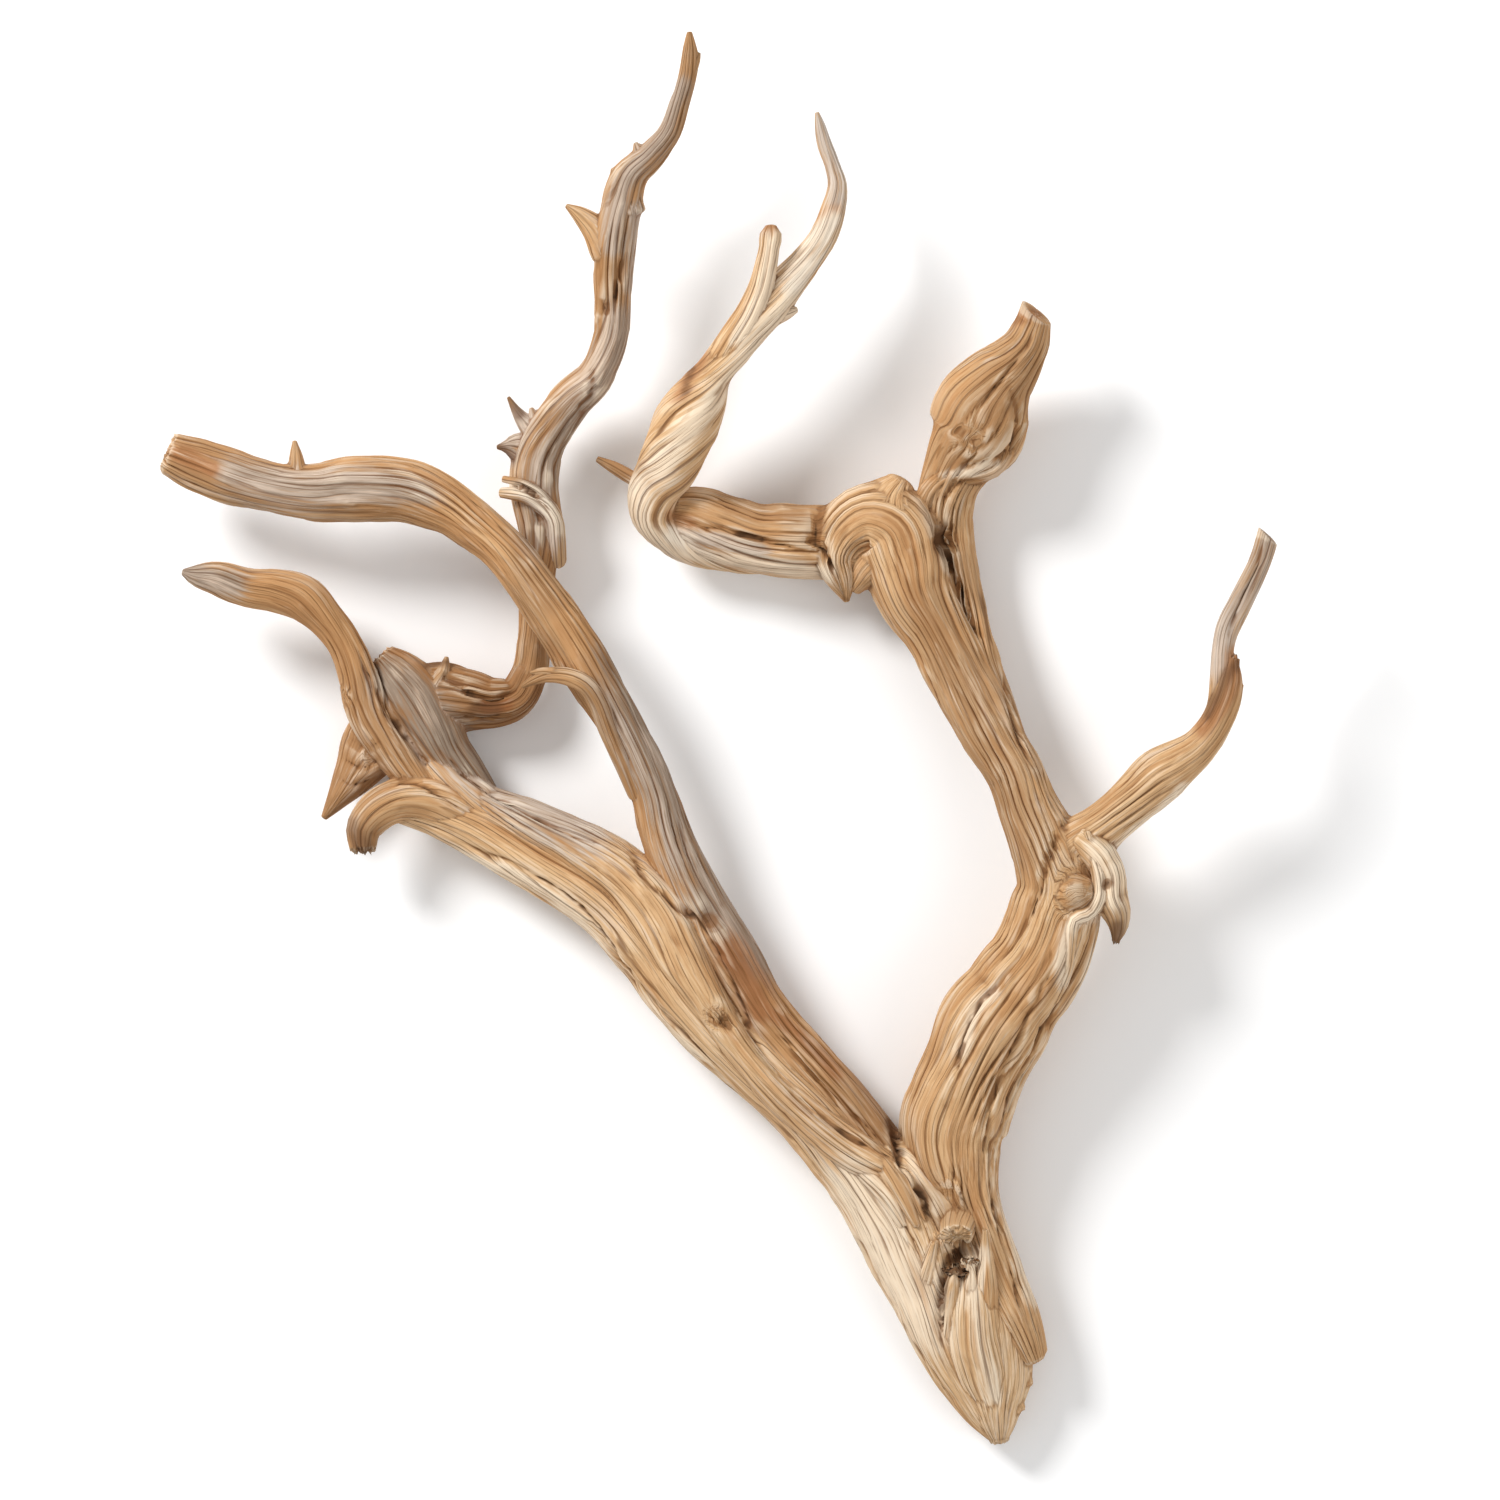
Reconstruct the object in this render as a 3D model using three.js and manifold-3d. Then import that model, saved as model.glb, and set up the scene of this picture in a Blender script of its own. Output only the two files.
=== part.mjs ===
// A branching piece of driftwood, weathered bare, lying on a table.
//
// Millimetres, +Z up. The origin is under the middle of the piece, on the surface that it
// rests on: X runs to the right, Y from the thick butt towards the thin tips.
// The wood grew as one piece, so it is one solid: every limb is a bent, tapering
// stem, and the stems are joined where they grew together.
import * as THREE from "three";
import { mergeVertices } from "three/addons/utils/BufferGeometryUtils.js";
import Module from "manifold-3d";

const SCALE = 1; // whole piece: 1 gives about 560 mm from the butt to the longest tip
const RING_SPACING = 10; // between two cross-sections along a limb
const FLOOR_CUT = 60; // depth of the block that takes away what is below the surface
const FLOOR_SPAN = 800; // side of that block
const MIDDLE_SHIFT = new THREE.Vector2(12.3, -3.8); // from the stations below to the origin

// A station is the middle of a limb and its girth there: [x, y, z, width, height].
// Width is measured across the limb along the table, height square to it.

// The left half of the butt, the left trunk and the low limb that it bends into.
const LEFT_TRUNK = [
  [100.5, -276.5, 9, 5, 6],
  [97.5, -268, 11, 17, 14],
  [90, -251, 13.5, 30, 26],
  [79, -227, 15.2, 36, 33],
  [67, -203, 16.2, 37, 35],
  [54, -180, 17.5, 38, 36],
  [39, -158, 19.5, 41, 36],
  [25, -143, 21, 41, 36],
  [7, -126, 22, 41, 37],
  [-8, -111, 23, 42, 37],
  [-22, -93, 24, 45, 37],
  [-38, -71, 23, 43, 35],
  [-59, -53, 22, 36, 32],
  [-88, -39, 21, 31, 29],
  [-114, -25, 18, 31, 29],
  [-130, -20, 18.5, 24, 24],
  [-142, -20, 22, 17, 18],
];

// The thick fluted crest on the front of the left trunk, ending in a blunt finger.
const FRONT_CREST = [
  [2, -103, 28, 20, 22],
  [20, -122, 30, 25, 24],
  [38, -139, 31, 27, 26],
  [53, -153, 31, 24, 24],
  [63, -165, 30, 18, 18],
  [67, -173, 29, 9, 10],
];

// The hooked end of the low limb, turning down and up off the table.
const LOW_HOOK = [
  [-132, -20, 20, 22, 22],
  [-144, -21, 25, 18, 17],
  [-153, -25, 29, 15, 14],
  [-157, -33, 31, 12, 12],
  [-153, -39, 32, 8, 8],
];

// The long bent limb that grows out of the left trunk and crosses over the back limb.
const CROSSING_LIMB = [
  [22, -130, 26, 22, 24],
  [5, -108, 27, 24, 25],
  [-9, -87, 28, 25, 26],
  [-19, -69, 29, 23, 24],
  [-28, -50, 30, 22, 23],
  [-35, -32, 32, 20, 20],
  [-38, -17, 34, 18, 18.5],
  [-43, -5, 36, 18, 18.5],
  [-50, 9, 39, 18, 18.5],
  [-57, 21, 42, 19, 19],
  [-69, 40, 46, 20, 19.5],
  [-82, 59, 47, 19, 19],
  [-98, 79, 45, 18.5, 18],
  [-110, 89, 43, 19.5, 18.5],
  [-121, 97, 41, 22, 20],
  [-137, 104, 40, 26, 22],
  [-158, 105, 39, 26, 23],
  [-174, 103.5, 38, 23, 21],
  [-190, 105, 37, 20, 19],
  [-207, 109, 36, 23, 20],
  [-221, 114, 35, 21.5, 19],
  [-230, 118, 35, 17, 16],
  [-234.5, 120, 35, 11, 11],
];

// The thin plate of wood where the low limb, the back limb and the small limb meet.
const KNEE = [
  [-145, 38, 20, 12, 10],
  [-139, 31, 17, 27, 20],
  [-134, 18, 14, 38, 30],
  [-132, 5, 13.6, 33, 30],
  [-130, -9, 15, 27, 28],
  [-127, -20, 17, 24, 25],
];

// The small limb that leaves the knee to the left and ends in a point.
const SMALL_LIMB = [
  [-128, -14, 18, 20, 18],
  [-139, -4, 18, 20, 19],
  [-148, 7, 19, 18.5, 19],
  [-155, 19, 21, 19, 19],
  [-156, 31, 24, 17, 17],
  [-161, 41, 27, 14, 15],
  [-169, 52, 29, 14.5, 15],
  [-179, 61, 31, 18, 16],
  [-190, 64, 33, 17, 15.5],
  [-201, 65, 35, 15.5, 14],
  [-213, 69, 37, 13, 12],
  [-222, 70, 38, 8, 8],
  [-226, 71, 38.5, 3, 4],
];

// The thin blade behind the small limb, running down to a sharp tip.
const LOW_BLADE = [
  [-143, 6, 15, 30, 16],
  [-152, -3, 15, 25, 15],
  [-160, -13, 16, 15, 12],
  [-166, -21, 17, 7.5, 9],
  [-171, -28, 18, 2.5, 4],
];

// The back limb: a low run out of the knee, then a long climb to the highest tip.
const BACK_LIMB_RUN = [
  [-132, 20, 18, 27, 24],
  [-119, 19, 17, 25, 22],
  [-106, 17.5, 15.5, 18.5, 19],
  [-95, 20, 15, 17, 18],
  [-88, 26, 14.5, 15, 17],
];
const BACK_LIMB = [
  [-93, 19, 14.5, 14, 15],
  [-88, 30, 14.5, 15, 16],
  [-86.5, 44, 14.5, 14, 15],
  [-86, 58, 15, 14.5, 15],
  [-84, 76, 16.5, 17, 17],
  [-83.5, 92, 19, 19.5, 19],
  [-85.5, 106, 21.5, 20.5, 19.5],
  [-86, 118, 23, 21.5, 19.5],
  [-81, 130, 25, 20.5, 19],
  [-71, 140, 27, 17, 17],
  [-62, 149, 30, 15, 15.5],
  [-56, 163, 33, 15, 15],
  [-54.5, 178, 36.5, 14.5, 15],
  [-54.5, 192, 40, 16.5, 15.5],
  [-53.5, 205, 43, 17.5, 15.5],
  [-51, 218, 45.5, 16.5, 14.5],
  [-47.5, 229, 47.5, 14, 13],
  [-41, 238, 49.5, 11.5, 11.5],
  [-33.5, 246.5, 51, 9, 9.5],
  [-28, 257, 53, 8, 8.5],
  [-25, 268, 55, 7.7, 8],
  [-24, 278, 57, 6, 6.5],
  [-24, 285, 58, 2.2, 3],
];

// The right half of the butt, the right trunk, and the limb that it bends into up to
// the knuckle and along to the elbow.
const RIGHT_TRUNK = [
  [112, -262, 13, 8, 12],
  [108, -246, 17, 22, 26],
  [100, -227, 19, 33, 33],
  [93, -207, 20, 34, 34],
  [87, -189, 21, 33, 34],
  [82, -171, 22.5, 36, 35],
  [81, -154, 24, 42, 37],
  [85, -139, 25.5, 42, 38],
  [90, -126, 27, 41, 38],
  [97, -111, 28.5, 43, 39],
  [107, -96, 30.5, 41, 38],
  [116, -82, 33, 38, 36],
  [121, -67, 35, 37, 36],
  [123, -53, 36.5, 34, 34],
  [118, -37, 37, 29, 31],
  [111, -22, 36, 24, 27],
  [106, -9, 34.5, 23, 26],
  [98, 4, 32.5, 25.5, 26],
  [90, 18, 30, 27, 27],
  [82, 33, 27.5, 27, 28],
  [74, 48, 25, 27.5, 29],
  [67, 62, 22, 28.5, 30],
  [58, 74, 19, 34, 32],
  [46, 83, 17.5, 36, 34],
  [30, 84, 17.5, 33, 31],
  [16, 83.5, 18.5, 30, 28],
  [2, 84.5, 20, 29, 26],
  [-12, 88.5, 21, 31, 26],
  [-25, 92.5, 22, 28, 25],
  [-37, 93, 24, 20, 20],
];

// The burl at the bend of that limb.
const KNUCKLE = [
  [34, 73, 17, 20, 22],
  [42, 83, 16, 34, 33],
  [50, 92, 16.2, 38, 35],
  [57, 101, 17.5, 27, 26],
  [61, 107, 19, 9, 10],
];

// The pointed flake under the knuckle.
const KNUCKLE_FLAKE = [
  [44, 80, 18, 20, 18],
  [41, 70, 17, 15, 15],
  [39.5, 63, 16.5, 8, 10],
  [39, 58.5, 16.5, 2.5, 4],
];

// The swollen foot of the rising limb, wrapped round the end of the elbow.
const RISING_LIMB = [
  [-38, 83, 24, 10, 14],
  [-40, 91, 28, 18, 22],
  [-37, 100, 32, 22, 24],
  [-33.5, 110, 35, 23.5, 24],
  [-30, 122, 38, 25, 25],
  [-26, 133, 41, 25.5, 25],
  [-20.5, 142, 43, 21.5, 22],
  [-14, 150, 44.5, 17, 18],
  [-8, 158.5, 46, 16.5, 17],
  [-1, 168, 47, 18, 17.5],
  [7, 177, 47.5, 18, 16.5],
  [15, 186, 47, 14.5, 14],
  [22, 194, 46, 12.5, 12.5],
  [29, 204, 45, 11.2, 11.5],
  [33, 215, 44, 10.2, 10.5],
  [35, 225, 43, 8, 9],
  [33, 233, 42, 6.2, 7],
  [30, 241, 41.5, 6, 6.5],
  [28, 249, 41, 4.2, 5],
  [26.8, 254, 41, 1.8, 2.5],
];

// The broken stub and the spur beside it where the rising limb forks.
const FORK_STUB = [
  [2, 172, 48, 12, 12],
  [6, 183, 50, 12, 12],
  [7, 193, 51, 10.5, 10.5],
  [7.8, 202, 52, 8, 8.5],
  [8.4, 208, 52.5, 3, 4],
];
const FORK_SPUR = [
  [4, 173, 46, 12, 12],
  [13, 174, 46, 7, 8],
  [18.5, 175.5, 46.5, 2.5, 3],
];

// The twig behind the elbow.
const ELBOW_TWIG = [
  [-34, 104, 24, 8, 9],
  [-45, 108, 20, 6, 7],
  [-54, 113, 18, 5, 6],
  [-61, 116.5, 17, 2.5, 3],
];

// The second limb of the right trunk: it runs under the first one to a swollen bulb.
const BULB_LIMB = [
  [106, -6, 30, 16, 20],
  [99, 16, 25, 16, 22],
  [91, 38, 21, 17, 22],
  [86, 60, 18, 17, 20],
  [81.5, 78, 18, 19, 20],
  [78.5, 92, 19.5, 22, 21],
  [79.5, 104, 21.5, 24, 23],
  [85, 116, 24, 28, 27],
  [92, 127, 27, 36, 32],
  [95, 138, 29.5, 35, 32],
  [100, 147, 32.5, 29.5, 28],
  [106.5, 154, 36, 22, 22],
  [111.5, 162, 40, 17, 17],
  [113.5, 170, 43.5, 13.5, 14],
  [113.5, 175, 45, 10, 10],
];

// The limb that leaves the right trunk to the right and narrows to a cut twig.
const RIGHT_LIMB = [
  [113, -62, 35, 26, 26],
  [123, -49, 38, 28, 27],
  [131, -39, 40, 25, 24],
  [139, -32, 41.5, 20.5, 21],
  [147, -25, 43, 19, 20],
  [155, -18, 44.5, 20, 20.5],
  [163, -10.5, 46, 21.5, 21],
  [171, -5, 47.5, 19, 19],
  [179, 1.5, 49, 15.5, 16],
  [185.5, 9, 50.5, 12.5, 13.5],
  [190, 19, 52, 11.5, 12],
  [190.5, 30, 53, 11, 11],
  [189.5, 40, 53.5, 9, 9.5],
  [191, 49, 54.5, 9.8, 10],
  [196, 59, 56, 9.8, 9.8],
  [202, 69, 58, 9.4, 9.4],
  [206, 79, 60, 8.6, 8.6],
  [208.5, 87, 61.5, 7.4, 7.4],
];

// The round knob and the snapped stub beside it at the foot of the right limb.
const SIDE_KNOB = [
  [122, -60, 38, 20, 20],
  [132, -58, 42, 24, 22],
  [140, -59, 42, 22, 20],
  [146, -63, 41, 18, 16],
  [148, -71, 40, 9, 9],
];

// Spurs and nubs: short broken side shoots.
const CROSSING_SPUR = [
  [-180, 106, 38, 10, 12],
  [-181, 117, 39, 6, 7],
  [-181.6, 123, 39.5, 2, 3],
];
const CURL_SPUR = [
  [-66, 33, 48, 10, 10],
  [-72, 34, 54, 8, 8],
  [-80, 34, 56, 7, 7],
  [-87, 31, 54, 5, 5],
  [-90.5, 25, 51, 2.5, 3],
];
const BACK_CURL = [
  [-74, 91, 22, 9, 10],
  [-81, 98, 29, 10, 9],
  [-90, 104, 31, 9, 8],
  [-97, 108, 28, 7, 7],
  [-101, 106.5, 24, 3.5, 4],
];
const BACK_SPURS = [
  [[-88, 114, 22, 14, 12], [-96, 118, 22, 7, 8], [-101, 121, 22, 2.5, 3]],
  [[-82, 130, 24, 14, 13], [-90, 136, 24, 8, 8], [-96, 140, 24, 2.5, 3]],
  [[-56, 206, 43, 14, 12], [-66, 211, 43, 8, 8], [-73, 216, 43, 2.5, 3]],
];

const ROUND_SIDES = 12; // faces round a trunk or limb
const THIN_SIDES = 8; // faces round a twig, spur or stub

const wasm = await Module();
wasm.setup();

// A closed three.js geometry as a solid.
function solid(geometry) {
  geometry.deleteAttribute("normal");
  geometry.deleteAttribute("uv");
  const merged = mergeVertices(geometry, 1e-4);
  return new wasm.Manifold(
    new wasm.Mesh({
      numProp: 3,
      vertProperties: merged.attributes.position.array,
      triVerts: new Uint32Array(merged.index.array),
    }),
  );
}

// A cylinder of unit size, bent along a smooth path through the stations and swollen or
// pinched to their girth.
function limb(stations, sides = ROUND_SIDES) {
  const path = new THREE.CatmullRomCurve3(stations.map(([x, y, z]) => new THREE.Vector3(x, y, z)));
  const girth = new THREE.CatmullRomCurve3(stations.map(([, , , w, h]) => new THREE.Vector3(w, h, 0)));
  const rings = Math.max(stations.length, Math.round(path.getLength() / RING_SPACING));
  const stem = new THREE.CylinderGeometry(1, 1, 1, sides, rings);
  const point = new THREE.Vector3();
  const spots = stem.attributes.position;
  for (let i = 0; i < spots.count; i++) {
    point.fromBufferAttribute(spots, i);
    const along = point.y + 0.5;
    const centre = path.getPoint(along);
    const size = girth.getPoint(along);
    const ahead = path.getTangent(along);
    const across = new THREE.Vector3(ahead.y, -ahead.x, 0).normalize();
    const upward = across.clone().cross(ahead).normalize();
    centre.addScaledVector(across, (point.x * size.x) / 2);
    centre.addScaledVector(upward, (point.z * size.y) / 2);
    spots.setXYZ(i, centre.x, centre.y, centre.z);
  }
  return solid(stem);
}

// The block under the table top: where a limb bears on the surface it is worn flat.
function floorBlock() {
  const block = new THREE.BoxGeometry(FLOOR_SPAN, FLOOR_SPAN, FLOOR_CUT);
  return solid(block.translate(0, 0, -FLOOR_CUT / 2));
}

function grownTogether() {
  const thick = [
    LEFT_TRUNK,
    FRONT_CREST,
    LOW_HOOK,
    CROSSING_LIMB,
    KNEE,
    SMALL_LIMB,
    BACK_LIMB_RUN,
    BACK_LIMB,
    RIGHT_TRUNK,
    KNUCKLE,
    RISING_LIMB,
    BULB_LIMB,
    RIGHT_LIMB,
    SIDE_KNOB,
  ];
  const thin = [
    LOW_BLADE,
    KNUCKLE_FLAKE,
    FORK_STUB,
    FORK_SPUR,
    ELBOW_TWIG,
    CROSSING_SPUR,
    CURL_SPUR,
    BACK_CURL,
    ...BACK_SPURS,
  ];
  const limbs = [...thick.map((stations) => limb(stations)), ...thin.map((s) => limb(s, THIN_SIDES))];
  return limbs.reduce((wood, next) => wood.add(next)).subtract(floorBlock());
}

// The finished wood, as a geometry about the origin.
function driftwoodGeometry() {
  const { numProp, vertProperties, triVerts } = grownTogether().getMesh();
  const geometry = new THREE.BufferGeometry();
  geometry.setAttribute("position", new THREE.BufferAttribute(vertProperties, numProp));
  geometry.setIndex(new THREE.BufferAttribute(triVerts, 1));
  geometry.translate(MIDDLE_SHIFT.x, MIDDLE_SHIFT.y, 0);
  geometry.scale(SCALE, SCALE, SCALE);
  return geometry;
}

const weatheredWood = new THREE.MeshStandardMaterial({
  name: "weathered_wood",
  color: 0xc29a6b,
  roughness: 0.85,
  metalness: 0,
  flatShading: true,
});

const driftwood = new THREE.Mesh(driftwoodGeometry(), weatheredWood);
driftwood.name = "driftwood";

const piece = new THREE.Group();
piece.add(driftwood);

export default piece;
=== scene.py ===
"""A branching piece of driftwood, weathered bare: limbs of raised, grooved grain grown into one
another, a ragged butt, broken stubs, knots and grey bleached faces."""

import math
from types import SimpleNamespace

import bpy
import numpy as np
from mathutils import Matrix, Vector


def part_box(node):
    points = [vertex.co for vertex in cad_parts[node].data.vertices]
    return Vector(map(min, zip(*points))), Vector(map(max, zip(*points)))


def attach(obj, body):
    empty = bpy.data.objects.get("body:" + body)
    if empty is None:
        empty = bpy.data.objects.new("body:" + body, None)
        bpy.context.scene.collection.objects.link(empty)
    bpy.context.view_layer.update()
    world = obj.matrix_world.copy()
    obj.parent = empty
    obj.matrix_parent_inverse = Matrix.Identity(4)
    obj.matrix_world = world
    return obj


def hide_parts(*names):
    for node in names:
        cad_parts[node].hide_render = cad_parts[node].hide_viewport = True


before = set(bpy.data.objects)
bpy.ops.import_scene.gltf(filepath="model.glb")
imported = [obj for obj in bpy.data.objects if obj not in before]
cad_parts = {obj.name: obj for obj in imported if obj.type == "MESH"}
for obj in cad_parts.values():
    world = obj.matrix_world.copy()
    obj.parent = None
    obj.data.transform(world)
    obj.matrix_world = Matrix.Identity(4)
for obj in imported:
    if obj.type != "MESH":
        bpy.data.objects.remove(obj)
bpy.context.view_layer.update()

MM = 0.001
TABLE_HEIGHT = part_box("driftwood")[0].z / MM  # mm, of the surface that the wood rests on
MIDDLE_SHIFT = np.array([12.3, -3.8, 0.0])  # mm, from the stations below to the frame's origin

# The skin of a limb.
ACROSS = 1.0  # mm between two points round a limb
LEAST_SIDES = 14  # points round the thinnest limb
ALONG = 2.7  # mm between two rings of a limb
SHORT_COURSE = 6  # stations, up to which a limb gets closer rings
SHORT_ALONG = 0.6  # the share of ALONG that a short limb gets
GRAIN = 2.1  # mm from one layer of the grain to the next, on the skin
UPPER_CROWD = 0.4  # the crowd of every limb but one
FULL_RELIEF = 9.0  # mm, the radius from which a limb is worn to its full depth
SWELLS, LUMPS = 0.05, 0.035  # shares that a limb's width varies by, in long and short waves
TWIST_CHANGE = (0.45, 0.66)  # shares of a limb's length between which its twist changes
BEND_ROOM = 0.86  # the share of a bend's own radius that the skin inside it may take up
TIP_RINGS = (0.97, 0.86, 0.7, 0.52, 0.34, 0.16)  # sizes of the rings that close an end
LIMB_APART = 400.0  # mm along the grain between one limb's pattern and the next limb's
FINE_STEPS = 24  # points worked out between two stations before they are spaced evenly

# The grown wood.
SEAM_ROUNDS = 3  # points that the easing of a seam reaches on each side
SEAM_FADE = 0.72  # what is left of the easing from one point to the next
EASING = 0.6  # the share of the way that a point moves in one round of easing
NEAR_ROUNDS, FAR_ROUNDS = 12, 30  # rounds of easing that tell a groove from a limb's own shape
MARK_SWAY, MARK_PATCH = 1.1, 7.0  # mm, how far marks are shifted and in patches of what size
COURSE_STEP = 1.5  # mm between two points of a crack or a stroke
FAR_AWAY = 99.0  # mm, stands for any distance that doesn't matter
STROKE_REACH = 2.5  # half widths at which a stroke has faded out
CRACK_REACH = 12.0  # mm at which a crack no longer matters
CRACK_SLOPE = 0.5  # mm that a crack's sides slope beyond its half width
NO_GAP = 4.0  # half widths from a crack where the wood is whole
POCKET_GAP, POCKET_SHADE = 0.75, 1.3  # the gap in the middle of a pocket and its growth outwards
FACING_UP = (-0.05, 0.45)  # upward tilts from which cuts start, and from which they are full

# The frayed fibres.
FIBRE_LENGTH, FIBRE_RADIUS = 3.0 * MM, 0.4 * MM
FIBRES_PER_M2 = 90000.0
FIBRE_SIDES, FIBRE_SEED = 5, 7
FIBRE_LIFT = 0.16  # how far a fibre leans out from the wood for its length
LEAST_FIBRE, MOST_FIBRE = 0.45, 1.3  # the range of their sizes

# ---------------------------------------------------------------------------------------------
# Noise: smooth random values in a box of whole-number cells, the same on every run.


def cell_value(ix, iy, iz, seed):
    """A random number from -1 to 1 for each whole-number cell corner.

    The large numbers only stir the bits.
    """
    mixed = (ix * 374761393 + iy * 668265263 + iz * 1442695041 + seed * 974634777) & 0xFFFFFFFF
    mixed = ((mixed ^ (mixed >> 13)) * 1274126177) & 0xFFFFFFFF
    mixed = ((mixed ^ (mixed >> 15)) * 668265263) & 0xFFFFFFFF
    return (mixed ^ (mixed >> 16)).astype(np.float64) / 0x80000000 - 1.0


def noise(x, y, z, seed):
    """Gradient noise, about -1 to 1, of three coordinate arrays."""
    full_range = 1.45
    x, y, z = np.broadcast_arrays(x, y, z)
    ix, iy, iz = (np.floor(c).astype(np.int64) for c in (x, y, z))
    fx, fy, fz = x - ix, y - iy, z - iz
    ux, uy, uz = (f * f * f * (f * (f * 6 - 15) + 10) for f in (fx, fy, fz))
    total = np.zeros(x.shape)
    for dx in (0, 1):
        for dy in (0, 1):
            for dz in (0, 1):
                corner = ix + dx, iy + dy, iz + dz
                slope = (
                    cell_value(*corner, seed) * (fx - dx)
                    + cell_value(*corner, seed + 101) * (fy - dy)
                    + cell_value(*corner, seed + 202) * (fz - dz)
                )
                weight = (ux if dx else 1 - ux) * (uy if dy else 1 - uy) * (uz if dz else 1 - uz)
                total += weight * slope
    return total * full_range


def smoothstep(low, high, value):
    """0 below low, 1 above high, and an even S between them."""
    t = np.clip((value - low) / (high - low), 0.0, 1.0)
    return t * t * (3 - 2 * t)


# ---------------------------------------------------------------------------------------------
# Limb courses: stations [x, y, z, width, height] in mm. The trunks are laid as several strands.

LEFT_TRUNK = [
    (98, -275, 11.5, 6, 7), (92.5, -266, 12, 13, 14), (86.5, -254.5, 13, 19, 19),
    (80.5, -243.5, 14.5, 23, 23), (76.5, -233, 15.5, 26.5, 27), (73, -222.5, 16.5, 30, 30),
    (68.5, -212, 17, 32.5, 32), (63.5, -202, 17.5, 33, 33), (58.5, -192, 18, 32, 33),
    (52, -181.5, 18.5, 30.5, 33), (44.5, -170.5, 19, 29.5, 33), (35.5, -160, 19.5, 29, 33.5),
    (25, -147.5, 20.5, 28.5, 34), (10.5, -134, 21, 28, 34), (-5, -119.5, 21.5, 28.5, 34),
    (-15, -109.5, 22, 29.5, 34), (-25, -98, 22.5, 31.5, 35), (-40, -76, 22, 35, 34),
    (-60, -57, 21, 32, 31), (-88, -41.5, 20, 28, 28), (-112, -29, 18, 25, 26),
    (-128, -24, 18.5, 20, 22), (-140, -22, 22, 15, 17),
]
FRONT_CREST = [
    (-112, -17, 22, 10, 12), (-92, -27, 25, 17, 20), (-70, -38, 27, 23, 24),
    (-52, -50, 28.5, 26, 26), (-38, -66, 30.5, 28, 27), (-27, -85, 32, 24, 26),
    (-16, -102, 33, 18, 23), (-6, -117, 33.5, 14.5, 20), (6, -131, 33.5, 14, 19),
    (22, -146, 33, 16, 19), (38, -158, 32.5, 18, 19), (52, -166, 32, 15, 17),
    (61, -170, 31.5, 11, 12), (67, -172.5, 31, 5, 6),
]
GREY_STRAND = [
    (-126, -6, 17, 16, 20), (-116, -15, 19, 17, 20), (-101, -26, 20, 17, 19),
    (-84, -34, 20.5, 15, 18), (-66, -38, 20.5, 13, 15), (-52, -41, 20, 9, 11),
]
BUTT = [
    (50, -156, 18, 14, 20), (61, -170, 19.5, 32, 32), (72.5, -189, 19, 47, 35),
    (81.5, -208, 17.5, 49, 34), (89.5, -227, 16.5, 47, 32), (94, -241, 15, 41, 28),
    (97, -252, 13.5, 35, 24), (98.5, -262, 12.5, 25, 20), (99.5, -271, 12, 15, 14),
    (100, -276, 11.5, 8, 8),
]
BUTT_STRAND = [
    (86, -204, 26, 10, 10), (88, -213, 29.5, 16, 14), (89, -223, 29, 21, 15),
    (90.5, -237, 26.5, 22.5, 15), (94, -250, 22, 20, 13), (97.5, -263, 17, 12, 10),
]
LOW_HOOK = [
    (-98, -34, 17, 12, 14), (-112, -27, 20, 18, 19), (-126, -20.5, 23, 20, 20),
    (-140, -20, 26, 18, 18), (-150, -25, 28.5, 16, 17), (-155, -32, 30, 14, 15),
    (-155, -38.5, 30.5, 11, 12),
]
CROSSING_LIMB = [
    (66, -172, 20, 16, 20), (50, -156, 19, 22, 24), (35, -138.5, 20, 23, 26),
    (19.5, -122.5, 21, 23, 26), (6, -107, 22.5, 23, 26), (-5.5, -89, 24.5, 24, 26),
    (-17, -69, 27.5, 23, 24), (-27, -50, 30, 22, 23), (-34, -32, 32, 20, 20),
    (-38, -17, 34, 18, 18.5), (-43, -5, 36, 18, 18.5), (-50, 9, 39, 18, 18.5),
    (-57, 21, 42, 19, 19), (-69, 40, 46, 20, 19.5), (-82, 59, 47, 19, 19),
    (-98, 79, 45, 18.5, 18), (-110, 89, 43, 19.5, 18.5), (-121, 97, 41, 22, 20),
    (-137, 104, 40, 26, 22), (-158, 105, 39, 26, 23), (-174, 103.5, 38, 23, 21),
    (-190, 105, 37, 20, 19), (-207, 109, 36, 23, 20), (-221, 114, 35, 21.5, 19),
    (-231, 118, 35, 18, 17),
]
KNEE = [
    (-95, -33, 16, 6, 10), (-111, -15.5, 15.5, 17, 22), (-121.5, -3, 15.5, 22, 25),
    (-129, 10, 16, 26, 28), (-136, 21.5, 16.5, 28, 27), (-143, 30.5, 17, 23, 22),
    (-148, 36, 17, 15, 14),
]
SMALL_LIMB = [
    (-129, -15, 20, 14, 15), (-136, -7, 20.5, 17, 18), (-144, 3, 21, 18, 19),
    (-152, 15, 22, 18.5, 19), (-156, 28, 24.5, 16.5, 17), (-161, 41, 27, 14, 15),
    (-169, 52, 29, 14.5, 15), (-179, 61, 31, 18, 16), (-190, 64, 33, 17, 15.5),
    (-201, 65, 35, 15.5, 14), (-213, 69, 37, 13, 12), (-222, 70, 38, 8, 8),
    (-226, 71, 38.5, 3, 4),
]
LOW_BLADE = [
    (-145, 10, 15, 28, 16), (-152, 0, 15.5, 25, 16), (-159, -11, 16, 16, 13),
    (-165.5, -20, 17, 8, 9), (-170.5, -27, 18, 2.5, 4),
]
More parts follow.
